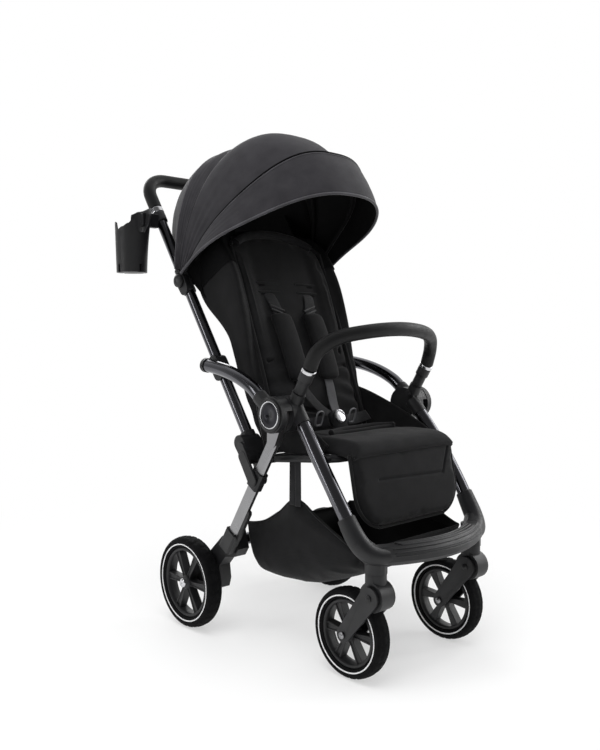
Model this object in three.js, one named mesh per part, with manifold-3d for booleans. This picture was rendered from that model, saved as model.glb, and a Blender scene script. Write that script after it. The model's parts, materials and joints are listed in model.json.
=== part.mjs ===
// A compact baby stroller: moulded side hubs, tubular frame, four spoked wheels, hooded seat.
// Millimetres. +Z is up, the floor is Z = 0 and the stroller faces -Y. Left is +X, as the child sits.
// Everything is drawn about the stroller's mid-plane, X = 0, and moved to its origin at the end.
import * as THREE from 'three';
import { mergeVertices } from 'three/addons/utils/BufferGeometryUtils.js';
import Module from 'manifold-3d';

const wasm = await Module();
wasm.setup();

// ---------------------------------------------------------------- driving dimensions
const GAP = 0.3;                      // left between pieces that touch
const ROUND = 16;                     // sides of a round piece
const SLIDE = 0.5;                    // running clearance between pieces that move
const PRESS = 2.5;                    // travel of the push buttons

// wheels
const WHEEL_SIDES = 28;
const SPOKES = 6;
const TYRE_WIDTH = 37;
const RIM_WIDTH = 27;
const RIM_DEPTH = 8;                  // from the tyre's seat inwards
const AXLE_R = 5;
const WHEEL_HUB_R = 15;
const REAR = { radius: 100, seat: 77, x: 216, y: 231 };
const FRONT = { radius: 86, seat: 66, x: 146, y: -197 };

// side hub, and what turns or ends in it
const HUB = { y: -55, z: 492, radius: 36 };
const HUB_FACE = 226;                 // X of the hub's outer face
const HUB_INNER = 167;                // X of its inner face
const KNUCKLE_R = 24;                 // rear leg's eye round the hub pin
const HUB_PIN_R = 7;
const DISC_R = 30;
const DISC_T = 5;

// rear leg: a flat oval tube in the slot between the hub's two walls
const LEG_IN = 197;
const LEG_OUT = 213;
const LEG_WIDTH = 27;
const LEG_LEAN = 32.2;                // degrees from upright
const LEG_BELOW_FOOT = 182;           // from the push bar's pivot down to the leg's end
const LEG_HEAD = 96;                  // from the push bar's pivot up to where the eye begins
const BRACKET_HALF = 20;              // bracket round the leg, each way from the pivot
const BRACKET_WALL = 3;
const TRUNNION_R = 7;

// push bar: pivots low on the rear leg and runs up through the arm's sleeve to the handle
const FOOT = { y: 8.8, z: 356.1 };
const BAR_LEAN = 34.2;
const BAR_X = 183;
const BAR_R = 12;
const BAR_START = 62;                 // distances along the bar from its pivot
const FOOT_TOP = 106;
const CHEEK = 4;                      // thickness of the two cheeks of the bar's foot
const SLEEVE_AT = 265;
const SLEEVE_LENGTH = 60;
const SLEEVE_R = 14.8;
const CANOPY_AT = 496.5;
const HINGE_REACH = 19;               // bar ends, each way from the bar hinge's pin
const HINGE_SOCKET = 14;              // depth of the hinge leaves over the bar ends
const GRIP_AT = 704;
const HANDLE_AT = 803;
const HANDLE_BEND = 58;
const GRIP_R = 15;

// arm rest
const ARM_X = 214;
const ARM_R = 14;
const ARM_CAP_R = 15.5;
const ARM_POINTS = [[-9, 525], [14, 541.5], [49, 557.5], [91, 570], [132, 577.5], [167, 581.5]];

// front leg: leaves the hub's inner half and runs down to the foot bar
const FRONT_LEG = [[177, -88, 484], [182, -135, 425], [182.5, -186, 355], [178, -240, 274]];
const FRONT_LEG_R = 14;
const LEG_SLEEVE_R = 17;

// foot bar between the front legs, and the caster posts under its ends
const FOOT_BAR = { x: 150, y: -262, bow: 42, z: 246, depth: 46, height: 34 };
const POST = { x: FRONT.x, y: -258, radius: 21, top: 240, bottom: 212 };
const FORK_PIVOT = { y: -262, z: 171 };
const FORK_PIN_R = 6;
const FORK_PLATE = 6;
const FORK_EYE_R = 21;                // round end of the fork's plates at its pivot
const SPRING_BOX_R = 28;
const FORK_SWING = 8;                 // degrees that the suspension gives

// rear housing and cross tube
const HOUSING_IN = 166;
const HOUSING_SLEEVE = 4;
const CATCH = { top: 72, width: 8 };  // tongue that runs up the leg's front
const REAR_TUBE = { y: 128, z: 202, radius: 13 };

// seat
const SEAT = { front: -187.8, back: 2, bottom: 419.5, top: 441, half: 149 };
const SEAT_SIDE = { inner: SEAT.half + 7, outer: SEAT.half + 12 };
const SEAT_SIDE_EDGE = [[-145, 432], [-146, 440], [-91, 472], [-40, 498], [19, 515], [36, 518], [30, 470]];
const RAIL_X = SEAT.half + 9;
const RAIL_R = 8;
const RAIL_FRONT = { y: -160, z: 411 };
const BACK_HINGE = { y: 14, z: 393 };
const BACK_LEAN = 23;
const BACK = { length: 534, half: 162, thick: 9, wing: 31, shallow: 36, deep: 115 };
const LEG_REST = { y: SEAT.front - 5.4, z: SEAT.bottom + 10.5, lean: 11.5, length: 152, half: 155, thick: 17, corner: 66 };

// canopy: hoops of fabric-covered spring strip on one pivot at the bar hinge
const HOOP_FOOT = 26;                 // fabric starts this far from the pivot, round the hinge's cap
const DRAPE_FOOT = 66;                // the drape's lower corners, from the pivot
const CLOTH = 2.5;
const BOW_R = 3;
const CANOPY_STEPS = 20;
const BACK_HOOP = { angle: -32, radius: 200, half: 150, power: 3 };
const REAR_HOOP = { angle: 4, radius: 305, half: 213, power: 2.9 };
const MID_HOOP = { angle: 20, radius: 348, half: 204, power: 2.65 };
const TOP_HOOP = { angle: 47.5, radius: 391, half: 197, power: 2.65 };
const RIM_HOOP = { angle: 63.7, radius: 386, half: 211, power: 2.45 };

// bumper bar
const BUMPER_X = 178;
const BUMPER_R = 14;
const BUMPER_POST_R = 12;
const BUMPER_POST = [[-86, 534], [-112, 577]];
const BUMPER_BUTTON = { y: -75, z: 516, start: 164, radius: 6 };
const BUMPER_POINTS = [[178, -114, 580], [171, -129, 614], [140, -152, 640], [80, -178, 653], [0, -190, 658]];

// basket
const BASKET = { front: -222, back: 100, half: 158, peak: -55 };

// cup holder
const CUP = { x: 270, y: 372, bottom: 786, top: 905, radius: 37, wall: 3 };

// ---------------------------------------------------------------- colours and finishes
const finish = (color, roughness, metalness = 0) =>
  new THREE.MeshStandardMaterial({ color, roughness, metalness });
const fabric = finish(0x1b1b1d, 0.95);
const canopyFabric = finish(0x2c2b2e, 0.95);
const plastic = finish(0x232325, 0.55);
const gunmetal = finish(0x4a4a4e, 0.25, 0.9);
const leatherette = finish(0x2a2a2c, 0.6);
const rubber = finish(0x1e1e1f, 0.9);
const steel = finish(0xb9b9bd, 0.3, 1);

// ---------------------------------------------------------------- solids
const v3 = (x, y, z) => new THREE.Vector3(x, y, z);
const rad = THREE.MathUtils.degToRad;

// Six times the volume that the triangles close in; below zero if their faces point inwards.
function signedVolume(geometry) {
  const p = geometry.attributes.position;
  const index = geometry.index.array;
  const [a, b, c] = [v3(), v3(), v3()];
  let sum = 0;
  for (let i = 0; i < index.length; i += 3) {
    a.fromBufferAttribute(p, index[i]);
    b.fromBufferAttribute(p, index[i + 1]);
    c.fromBufferAttribute(p, index[i + 2]);
    sum += a.dot(b.cross(c));
  }
  return sum;
}

// The same closed surface with shared corners and outward faces.
function closed(geometry) {
  const bare = new THREE.BufferGeometry();
  bare.setAttribute('position', geometry.attributes.position);
  bare.setIndex(geometry.index);
  const merged = mergeVertices(bare, 1e-3);
  const triangles = [];
  for (let i = 0; i < merged.index.count; i += 3) {
    const [a, b, c] = [0, 1, 2].map((k) => merged.index.getX(i + k));
    if (a !== b && b !== c && c !== a) triangles.push([a, b, c]);
  }
  merged.setIndex(triangles.flat());
  if (signedVolume(merged) < 0) merged.setIndex(triangles.map(([a, b, c]) => [a, c, b]).flat());
  return merged;
}

function toSolid(geometry) {
  const g = closed(geometry);
  return new wasm.Manifold(new wasm.Mesh({
    numProp: 3,
    vertProperties: new Float32Array(g.attributes.position.array),
    triVerts: new Uint32Array(g.index.array),
  }));
}

function toGeometry(solid) {
  const mesh = solid.getMesh();
  const geometry = new THREE.BufferGeometry();
  geometry.setAttribute('position', new THREE.BufferAttribute(mesh.vertProperties, 3));
  geometry.setIndex(new THREE.BufferAttribute(mesh.triVerts, 1));
  return geometry;
}

const join = (...parts) => toGeometry(parts.map(toSolid).reduce((a, b) => a.add(b)));
const cut = (part, ...tools) =>
  toGeometry(tools.map(toSolid).reduce((rest, tool) => rest.subtract(tool), toSolid(part)));

function mirrored(geometry) {
  const copy = geometry.clone();
  copy.applyMatrix4(new THREE.Matrix4().makeScale(-1, 1, 1));
  return closed(copy);
}

// A round rod, or a cone, from one point to another.
function rod(from, to, radius, sides = ROUND, endRadius = radius) {
  const along = to.clone().sub(from);
  const geometry = new THREE.CylinderGeometry(endRadius, radius, along.length(), sides);
  const turn = new THREE.Quaternion().setFromUnitVectors(v3(0, 1, 0), along.clone().normalize());
  geometry.applyQuaternion(turn);
  const middle = from.clone().add(to).multiplyScalar(0.5);
  return geometry.translate(middle.x, middle.y, middle.z);
}

// A round rod across the stroller, centred on (y, z).
const cross = (y, z, x0, x1, radius, sides = ROUND) => rod(v3(x0, y, z), v3(x1, y, z), radius, sides);

// A round bar bent through the points.
function bent(points, radius, steps, sides = 10) {
  const ring = new THREE.Shape();
  ring.absarc(0, 0, radius, 0, 2 * Math.PI);
  return extruded(ring, points, steps, sides);
}

function extruded(shape, points, steps, sides) {
  const path = new THREE.CatmullRomCurve3(points, false, 'centripetal');
  return new THREE.ExtrudeGeometry(shape, { extrudePath: path, steps, curveSegments: sides / 2 });
}

// A plate of the outline, given in Y and Z, between two values of X.
function plate(outline, x0, x1, curveSegments = 5) {
  const shape = outline instanceof THREE.Shape
    ? outline : new THREE.Shape(outline.map(([y, z]) => new THREE.Vector2(y, z)));
  const geometry = new THREE.ExtrudeGeometry(shape, {
    depth: x1 - x0, bevelEnabled: false, curveSegments,
  });
  const toYZ = new THREE.Matrix4().makeBasis(v3(0, 1, 0), v3(0, 0, 1), v3(1, 0, 0));
  return geometry.applyMatrix4(toYZ).translate(x0, 0, 0);
}

const box = (x0, x1, y0, y1, z0, z1) => new THREE.BoxGeometry(x1 - x0, y1 - y0, z1 - z0)
  .translate((x0 + x1) / 2, (y0 + y1) / 2, (z0 + z1) / 2);

// A solid turned about X: the profile is [radius, x], and a flat of its outside faces the floor.
function turned(profile, y, z, sides) {
  const outwards = 1 / Math.cos(Math.PI / sides);
  const points = profile.map(([r, x]) => new THREE.Vector2(r * outwards, x));
  const geometry = new THREE.LatheGeometry(points, sides, Math.PI / sides);
  return geometry.rotateZ(-Math.PI / 2).translate(0, y, z);
}

// A closed solid through loops of points, its first and last loops filled in.
function loft(loops) {
  const count = loops[0].length;
  const points = loops.flat();
  const index = [];
  for (let i = 0; i + 1 < loops.length; i++) {
    for (let k = 0; k < count; k++) {
      const [a, b] = [i * count + k, i * count + (k + 1) % count];
      index.push(a, b, a + count, b, b + count, a + count);
    }
  }
  const ends = [[loops[0], 0, -1], [loops.at(-1), (loops.length - 1) * count, 1]];
  for (const [loop, start, side] of ends) {
    const centre = loop.reduce((sum, p) => sum.add(p), v3(0, 0, 0)).divideScalar(count);
    points.push(centre);
    for (let k = 0; k < count; k++) {
      const pair = [start + k, start + (k + 1) % count];
      index.push(...(side > 0 ? pair : pair.reverse()), points.length - 1);
    }
  }
  const geometry = new THREE.BufferGeometry();
  geometry.setAttribute('position', new THREE.Float32BufferAttribute(
    points.flatMap((p) => p.toArray()), 3));
  geometry.setIndex(index);
  return closed(geometry);
}

// A sheet of cloth of one thickness over the surface at(u, v), u and v from 0 to 1.
function sheet(at, across, along, thickness) {
  const step = 1e-3;
  const inside = (u, v) => {
    const [p, du, dv] = [at(u, v), at(u + step, v).sub(at(u - step, v)), at(u, v + step).sub(at(u, v - step))];
    return p.add(du.cross(dv).normalize().multiplyScalar(thickness));
  };
  const row = (surface, v) =>
    Array.from({ length: across + 1 }, (_, i) => surface(i / across, v));
  const loops = [];
  for (let j = 0; j <= along; j++) {
    loops.push([...row((u, v) => at(u, v), j / along), ...row(inside, j / along).reverse()]);
  }
  return stitched(loops);
}

// As loft, but the end loops are strips, filled across from edge to edge.
function stitched(loops) {
  const count = loops[0].length;
  const half = count / 2;
  const index = [];
  for (let i = 0; i + 1 < loops.length; i++) {
    for (let k = 0; k < count; k++) {
      const [a, b] = [i * count + k, i * count + (k + 1) % count];
      index.push(a, b, a + count, b, b + count, a + count);
    }
  }
  for (const [start, side] of [[0, -1], [(loops.length - 1) * count, 1]]) {
    for (let k = 0; k + 1 < half; k++) {
      const [a, b, c, d] = [start + k, start + k + 1, start + count - 2 - k, start + count - 1 - k];
      index.push(...(side > 0 ? [a, b, c, a, c, d] : [c, b, a, d, c, a]));
    }
  }
  const geometry = new THREE.BufferGeometry();
  geometry.setAttribute('position', new THREE.Float32BufferAttribute(
    loops.flat().flatMap((p) => p.toArray()), 3));
  geometry.setIndex(index);
  return closed(geometry);
}

// ---------------------------------------------------------------- places worked out from the sizes
const barAlong = [Math.sin(rad(BAR_LEAN)), Math.cos(rad(BAR_LEAN))];
const onBar = (s, off = 0) => [
  FOOT.y + s * barAlong[0] + off * barAlong[1],
  FOOT.z + s * barAlong[1] - off * barAlong[0],
];
const legAlong = [-Math.sin(rad(LEG_LEAN)), Math.cos(rad(LEG_LEAN))];
const onLeg = (s, off = 0) => [
  FOOT.y + s * legAlong[0] + off * legAlong[1],
  FOOT.z + s * legAlong[1] - off * legAlong[0],
];
const at = (x, [y, z]) => v3(x, y, z);
const pivot = onBar(CANOPY_AT);

const stroller = new THREE.Group();

function add(name, geometry, material) {
  const mesh = new THREE.Mesh(closed(geometry), material);
  mesh.name = name;
  stroller.add(mesh);
}

// Adds the piece as drawn, on the left, and its mirror image on the right.
function addPair(name, geometry, material) {
  add(`${name}_left`, geometry, material);
  add(`${name}_right`, mirrored(geometry), material);
}

// ---------------------------------------------------------------- wheels
function tyre({ radius, seat, x, y }) {
  const half = TYRE_WIDTH / 2;
  const side = radius - seat;
  const profile = [
    [seat, 0.66 * half], [seat + 0.4 * side, half], [radius - 0.2 * side, 0.8 * half],
    [radius, 0.42 * half], [radius, -0.42 * half], [radius - 0.2 * side, -0.8 * half],
    [seat + 0.4 * side, -half], [seat, -0.66 * half], [seat, 0.66 * half],
  ];
  return turned(profile.map(([r, dx]) => [r, x + dx]), y, radius, WHEEL_SIDES);
}

function wheel({ radius, seat, x, y }) {
  const outer = seat - GAP;
  const inner = outer - RIM_DEPTH;
  const half = RIM_WIDTH / 2;
  const ring = turned([
    [outer, x + half - 4], [outer, x - half + 4], [inner + 3, x - half], [inner, x], [inner + 3, x + half],
    [outer, x + half - 4],
  ], y, radius, WHEEL_SIDES);
  const parts = [ring, cross(y, radius, x - half - 3, x + half, WHEEL_HUB_R)];
  for (let k = 0; k < SPOKES; k++) {
    const spoke = box(x - 6, x + 6, -7, 7, WHEEL_HUB_R - 3, inner + 2);
    spoke.rotateX((2 * Math.PI * k) / SPOKES).translate(0, y, radius);
    parts.push(spoke);
  }
  return cut(join(...parts), cross(y, radius, x - 60, x + 60, AXLE_R + GAP, 12));
}

// An axle bolt with a head at its outer end.
function axle(y, z, x0, x1, headR, headT) {
  return join(cross(y, z, x0, x1, AXLE_R, 12), cross(y, z, x1 - headT, x1, headR));
}

function makeWheels() {
  addPair('rear_tyre', tyre(REAR), rubber);
  addPair('rear_wheel', wheel(REAR), plastic);
  addPair('front_tyre', tyre(FRONT), rubber);
  addPair('front_wheel', wheel(FRONT), plastic);
  const rearOut = REAR.x + RIM_WIDTH / 2 + SLIDE + 4;
  addPair('rear_axle', axle(REAR.y, REAR.radius, LEG_IN - 22, rearOut, 10, 4), steel);
}

// ---------------------------------------------------------------- casters
// Two rounds and the flats between them, in Y and Z.
function capsule([y0, z0], r0, [y1, z1], r1) {
  const angle = Math.atan2(z1 - z0, y1 - y0);
  const lean = Math.acos((r0 - r1) / Math.hypot(y1 - y0, z1 - z0));
  const shape = new THREE.Shape();
  shape.absarc(y1, z1, r1, angle - lean, angle + lean, false);
  shape.absarc(y0, z0, r0, angle + lean, angle - lean + 2 * Math.PI, false);
  return shape;
}

// Where (y, z) goes when it turns about the centre, in degrees about +X.
function swing(y, z, centre, degrees) {
  const [c, s] = [Math.cos(rad(degrees)), Math.sin(rad(degrees))];
  const [dy, dz] = [y - centre.y, z - centre.z];
  return { y: centre.y + dy * c - dz * s, z: centre.z + dy * s + dz * c };
}

function makeCasters() {
  const tyreFace = TYRE_WIDTH / 2 + SLIDE;
  const boxHalf = tyreFace - 2 * SLIDE;
  const [x0, x1] = [POST.x - boxHalf, POST.x + boxHalf];
  const swivel = rod(v3(POST.x, POST.y, FORK_PIVOT.z), v3(POST.x, POST.y, POST.bottom - SLIDE), POST.radius - 1);
  const springBox = cross(FORK_PIVOT.y, FORK_PIVOT.z, x0, x1, SPRING_BOX_R, 24);
  const room = FRONT.radius + 5;
  const swung = swing(FRONT.y, FRONT.radius, FORK_PIVOT, FORK_SWING);
  addPair('caster', cut(join(swivel, springBox),
    cross(FRONT.y, FRONT.radius, x0 - 9, x1 + 9, room, WHEEL_SIDES),
    cross(swung.y, swung.z, x0 - 9, x1 + 9, room, WHEEL_SIDES),
    cross(FORK_PIVOT.y, FORK_PIVOT.z, x0 - 9, x1 + 9, FORK_PIN_R + GAP, 12),
    box(x1, x1 + 9, POST.y - 40, POST.y + 40, 0, FORK_PIVOT.z + FORK_EYE_R + 2),
    box(x0 - 9, x0, POST.y - 40, POST.y + 40, 0, FORK_PIVOT.z + FORK_EYE_R + 2)), plastic);

  // the fork's two plates, its pivot pin and the wheel's bolt
  const outline = capsule([FORK_PIVOT.y, FORK_PIVOT.z], FORK_EYE_R, [FRONT.y, FRONT.radius], 15);
  const outer = FRONT.x + tyreFace;
  const inner = FRONT.x - tyreFace;
  addPair('fork', join(
    plate(outline, outer, outer + FORK_PLATE),
    plate(outline, inner - FORK_PLATE, inner),
    cross(FORK_PIVOT.y, FORK_PIVOT.z, inner - 1, outer + 1, FORK_PIN_R, 12),
    cross(FRONT.y, FRONT.radius, inner - FORK_PLATE - 2, outer + FORK_PLATE + 3, AXLE_R, 12)), plastic);
}

// ---------------------------------------------------------------- side hubs, arms, front legs
function makeHubs() {
  const { y, z, radius } = HUB;
  const slot = [LEG_IN - GAP, LEG_OUT + GAP];
  const drum = join(
    cross(y, z, HUB_INNER, slot[0], radius, 28),
    cross(y, z, slot[1], HUB_FACE, radius, 28));
  // over the top the two halves of the drum are one; below, the rear leg swings between them
  const web = cut(cross(y, z, slot[0] - 2, slot[1] + 2, radius - 1, 28),
    cross(y, z, slot[0] - 5, slot[1] + 5, KNUCKLE_R + SLIDE, 20),
    box(slot[0] - 5, slot[1] + 5, y - 60, y + 60, z - 60, z + 9));
  const pin = cross(y, z, slot[0] - 2, slot[1] + 2, HUB_PIN_R, 12);

  const armStart = at(ARM_X, ARM_POINTS[0]);
  const armInto = at(ARM_X, ARM_POINTS[1]).sub(armStart).normalize();
  const armBoss = rod(armStart.clone().addScaledVector(armInto, -30),
    armStart.clone().addScaledVector(armInto, -GAP), ARM_R + 1.5);

  const leg = FRONT_LEG.map((p) => v3(...p));
  const legInto = leg[1].clone().sub(leg[0]).normalize();
  const legBoss = rod(leg[0].clone().addScaledVector(legInto, -20),
    leg[0].clone().addScaledVector(legInto, 14), LEG_SLEEVE_R - 1);
  const legBore = rod(leg[0].clone().addScaledVector(legInto, -GAP),
    leg[0].clone().addScaledVector(legInto, 30), FRONT_LEG_R + 2 * GAP);

  const [[postY, postZ]] = BUMPER_POST;
  const socket = rod(v3(BUMPER_X, postY + 14, postZ - 23), v3(BUMPER_X, postY, postZ), BUMPER_POST_R + 2);
  const knuckle = cross(y, z, ...slot, KNUCKLE_R + SLIDE, 20);
  const { y: buttonY, z: buttonZ, start, radius: buttonR } = BUMPER_BUTTON;
  const buttonWell = cross(buttonY, buttonZ, start - 9, start + 3 + PRESS + SLIDE, buttonR + SLIDE, 12);
  const body = join(cut(join(drum, web, armBoss, legBoss, socket), legBore, knuckle, buttonWell), pin);
  const discSeat = cross(y, z, HUB_FACE - 2, HUB_FACE + 5, DISC_R + GAP, 24);
  addPair('hub', cut(body, discSeat), plastic);
  addPair('hub_disc', cross(y, z, HUB_FACE - 2 + GAP, HUB_FACE - 2 + DISC_T, DISC_R, 24), gunmetal);

  const armPath = ARM_POINTS.map((p) => at(ARM_X, p));
  const end = armPath.at(-1);
  const cap = rod(end.clone().add(v3(0, -8, -1)), end.clone().add(v3(0, 5, 0.6)), ARM_CAP_R);
  addPair('arm', join(bent(armPath, ARM_R, 12), cap), gunmetal);
  addPair('front_leg', bent(leg, FRONT_LEG_R, 10), gunmetal);
}

// ---------------------------------------------------------------- foot bar
function makeFootBar() {
  const { x, y, bow, z, depth, height } = FOOT_BAR;
  const [h, d] = [height / 2, depth / 2];
  const section = [[-h, 8 - d], [8 - h, -d], [h - 12, -d], [h, 12 - d], [h, d - 9], [h - 7, d], [6 - h, d], [-h, d - 8]];
  const steps = 12;
  const loops = [];
  for (let i = 0; i <= steps; i++) {
    const across = (2 * i) / steps - 1;
    const middle = y - bow * (1 - across * across);
    loops.push(section.map(([up, back]) => v3(across * x, middle + back, z + up)));
  }
  const leg = FRONT_LEG.map((p) => v3(...p));
  const foot = leg.at(-1);
  const up = leg.at(-2).clone().sub(foot).normalize();
  const onFrontLeg = (s) => foot.clone().addScaledVector(up, s);
  const sleeve = rod(onFrontLeg(26), onFrontLeg(-8), LEG_SLEEVE_R);
  const elbow = rod(onFrontLeg(-4), v3(POST.x + 2, POST.y, z - 6), LEG_SLEEVE_R, ROUND, POST.radius);
  const post = rod(v3(POST.x, POST.y, POST.bottom), v3(POST.x, POST.y, z + 12), POST.radius);
  const corner = cut(join(sleeve, elbow, post), rod(onFrontLeg(-GAP), onFrontLeg(60), FRONT_LEG_R + 2 * GAP));
  add('foot_bar', join(loft(loops), corner, mirrored(corner)), plastic);
}

// ---------------------------------------------------------------- rear frame
// A length of the rear leg's flat oval between two places on it, thicker all round by the margin.
function ovalTube(from, to, margin = 0) {
  const half = LEG_WIDTH / 2 + margin;
  const edge = 4;
  const [x0, x1] = [LEG_IN + GAP - margin, LEG_OUT - GAP + margin];
  const ring = (s) => [
    at(x0, onLeg(s, half - edge)), at(x0 + edge, onLeg(s, half)), at(x1 - edge, onLeg(s, half)),
    at(x1, onLeg(s, half - edge)), at(x1, onLeg(s, edge - half)), at(x1 - edge, onLeg(s, -half)),
    at(x0 + edge, onLeg(s, -half)), at(x0, onLeg(s, edge - half)),
  ];
  return loft([ring(from), ring(to)]);
}

function makeRearFrame() {
  const half = LEG_WIDTH / 2;
  const [x0, x1] = [LEG_IN + GAP, LEG_OUT - GAP];
  const head = capsule(onLeg(LEG_HEAD), half - 1, [HUB.y, HUB.z], KNUCKLE_R);
  addPair('rear_leg', cut(join(ovalTube(-LEG_BELOW_FOOT, LEG_HEAD), plate(head, x0, x1)),
    cross(HUB.y, HUB.z, x0 - 5, x1 + 5, HUB_PIN_R + SLIDE, 12)), gunmetal);

  // the bracket on the leg, with the trunnions that the push bar's foot turns on
  const trunnion = [LEG_IN - BRACKET_WALL - CHEEK, LEG_OUT + BRACKET_WALL + CHEEK];
  addPair('leg_bracket', cut(
    join(ovalTube(-BRACKET_HALF, BRACKET_HALF, BRACKET_WALL), cross(FOOT.y, FOOT.z, ...trunnion, TRUNNION_R, 12)),
    ovalTube(-BRACKET_HALF - 5, BRACKET_HALF + 5, GAP)), plastic);

  const sleeveEnd = -LEG_BELOW_FOOT - 8;
  const sleeveTop = 40 - LEG_BELOW_FOOT;
  const outline = [[96, 178], [84, 196], [98, 240], [140, 214], [200, 158], [246, 120], [252, 96], [236, 80],
    [205, 84], [175, 92], [152, 98], [146, 118], [150, 148], [128, 172]];
  const tongue = [onLeg(sleeveTop - 6, -half - GAP), onLeg(-CATCH.top, -half - GAP),
    onLeg(-CATCH.top, -half - CATCH.width + 3), onLeg(-CATCH.top - 5, -half - CATCH.width),
    onLeg(sleeveTop - 6, -half - CATCH.width)];
  const lobe = plate(outline, HOUSING_IN, LEG_IN - 1);
  const sleeve = ovalTube(sleeveEnd, sleeveTop, HOUSING_SLEEVE);
  addPair('rear_housing', cut(join(sleeve, lobe, plate(tongue, LEG_IN + 4, LEG_OUT - 4)),
    ovalTube(-LEG_BELOW_FOOT - GAP, sleeveTop + 5, GAP),
    cross(REAR.y, REAR.radius, LEG_IN - 22 - GAP, LEG_IN + 9, AXLE_R + GAP, 12),
    cross(REAR_TUBE.y, REAR_TUBE.z, HOUSING_IN - 5, HOUSING_IN + 12, REAR_TUBE.radius + GAP)), plastic);
  const tubeEnd = HOUSING_IN + 12 - GAP;
  add('rear_tube', cross(REAR_TUBE.y, REAR_TUBE.z, -tubeEnd, tubeEnd, REAR_TUBE.radius), gunmetal);

  // the brake's pedal, clipped round the middle of the cross tube
  const pedal = { half: 34, wall: 5, reach: 34, low: -3, high: 5 };
  const { y, z, radius } = REAR_TUBE;
  const clip = join(cross(y, z, -pedal.half, pedal.half, radius + pedal.wall),
    box(-pedal.half, pedal.half, y + radius + 2, y + radius + pedal.wall + pedal.reach, z + pedal.low, z + pedal.high));
  add('brake_pedal', cut(clip, cross(y, z, -pedal.half - 5, pedal.half + 5, radius + SLIDE)), plastic);
}

// ---------------------------------------------------------------- push bars and handle
// A straight length of the left push bar, or a bore or sleeve round it.
const alongBar = (from, to, radius) => rod(at(BAR_X, onBar(from)), at(BAR_X, onBar(to)), radius);

function makePushBars() {
  addPair('push_bar', alongBar(BAR_START, CANOPY_AT - HINGE_REACH, BAR_R), gunmetal);

  // the foot straddles the leg's bracket with two cheeks and holds the bar's lower end
  const cheekOut = LEG_OUT + BRACKET_WALL + SLIDE;
  const cheekIn = LEG_IN - BRACKET_WALL - SLIDE;
  const solidFrom = 60;
  const shy = -4;
  const cheek = capsule(onBar(0), 12, onBar(solidFrom, shy), 11);
  const block = capsule(onBar(solidFrom, shy), 11, onBar(solidFrom + 12, shy), 11);
  const foot = cut(join(
    plate(cheek, cheekOut, cheekOut + CHEEK),
    plate(cheek, cheekIn - CHEEK, cheekIn),
    plate(block, BAR_X - 14, cheekOut + CHEEK),
    alongBar(solidFrom - 8, FOOT_TOP, BAR_R + 3.5)),
  alongBar(BAR_START - GAP, FOOT_TOP + 5, BAR_R + GAP),
  cross(FOOT.y, FOOT.z, cheekIn - CHEEK - 5, cheekOut + CHEEK + 5, TRUNNION_R + SLIDE, 12));
  addPair('bar_foot', foot, plastic);

  // a sleeve on each bar, which the arm's end turns on and the bar slides through
  const reach = SLEEVE_LENGTH / 2 - SLEEVE_R;
  addPair('sleeve', cut(
    plate(capsule(onBar(SLEEVE_AT - reach), SLEEVE_R, onBar(SLEEVE_AT + reach), SLEEVE_R),
      BAR_X - SLEEVE_R + 1, ARM_X - ARM_CAP_R - SLIDE),
    alongBar(SLEEVE_AT - SLEEVE_LENGTH, SLEEVE_AT + SLEEVE_LENGTH, BAR_R + SLIDE)), plastic);

  // lower leaf of the bar's hinge, with its pin and the canopy's pivot boss
  const end = CANOPY_AT - HINGE_REACH;
  const leaf = capsule(onBar(CANOPY_AT), 16.5, onBar(end - 2), 15);
  addPair('bar_hinge', cut(join(
    plate(leaf, BAR_X + GAP, BAR_X + 15),
    alongBar(end - HINGE_SOCKET, end + 2, BAR_R + 3),
    cross(...pivot, BAR_X - 14, BAR_X + 4, 5, 12),
    cross(...pivot, BAR_X + 10, REAR_HOOP.half, 9, 12),
    cross(...pivot, BAR_X + BAR_R + 3 + SLIDE, REAR_HOOP.half + CLOTH, HOOP_FOOT - SLIDE, 24)),
  alongBar(end - HINGE_SOCKET - 5, end + GAP, BAR_R + GAP)), plastic);
}

// The left half of the handle's path, from a place on the bar over the bend to the middle.
function handlePath(start) {
  const bend = Array.from({ length: 5 }, (_, k) => {
    const turn = (k / 4) * (Math.PI / 2);
    return at(BAR_X - HANDLE_BEND * (1 - Math.cos(turn)), onBar(HANDLE_AT - HANDLE_BEND * (1 - Math.sin(turn))));
  });
  return [at(BAR_X, onBar(start)), ...bend, at(60, onBar(HANDLE_AT))];
}

// The points and their mirror images, in order along the bar that they make.
const bothSides = (half) =>
  [...half, ...half.filter((p) => p.x > 0).map((p) => v3(-p.x, p.y, p.z)).reverse()];

function makeHandle() {
  // upper leaves of the two hinges and the tubes above them
  const end = CANOPY_AT + HINGE_REACH;
  const leaf = capsule(onBar(CANOPY_AT), 16.5, onBar(end + 2), 15);
  addPair('handle_tube', cut(join(
    plate(leaf, BAR_X - 15, BAR_X - GAP),
    alongBar(end - 2, end + HINGE_SOCKET, BAR_R + 3),
    alongBar(end, GRIP_AT, BAR_R)),
  cross(...pivot, BAR_X - 20, BAR_X + 5, 5 + GAP, 12)), gunmetal);

  const grip = bent(bothSides(handlePath(GRIP_AT + GAP)), GRIP_R, 28);
  const onTop = new THREE.Matrix4().makeRotationX(-rad(BAR_LEAN)).setPosition(at(0, onBar(HANDLE_AT)));
  const half = { x: 15, y: 8 };
  const foot = GRIP_R - 5;
  const well = box(-half.x - SLIDE, half.x + SLIDE, -20, 20, foot - PRESS - SLIDE, 30).applyMatrix4(onTop);
  const button = box(-half.x, half.x, -half.y, half.y, foot, GRIP_R + 1.6).applyMatrix4(onTop);
  add('handle_grip', cut(grip, well), leatherette);
  add('fold_button', button, plastic);
}

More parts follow.
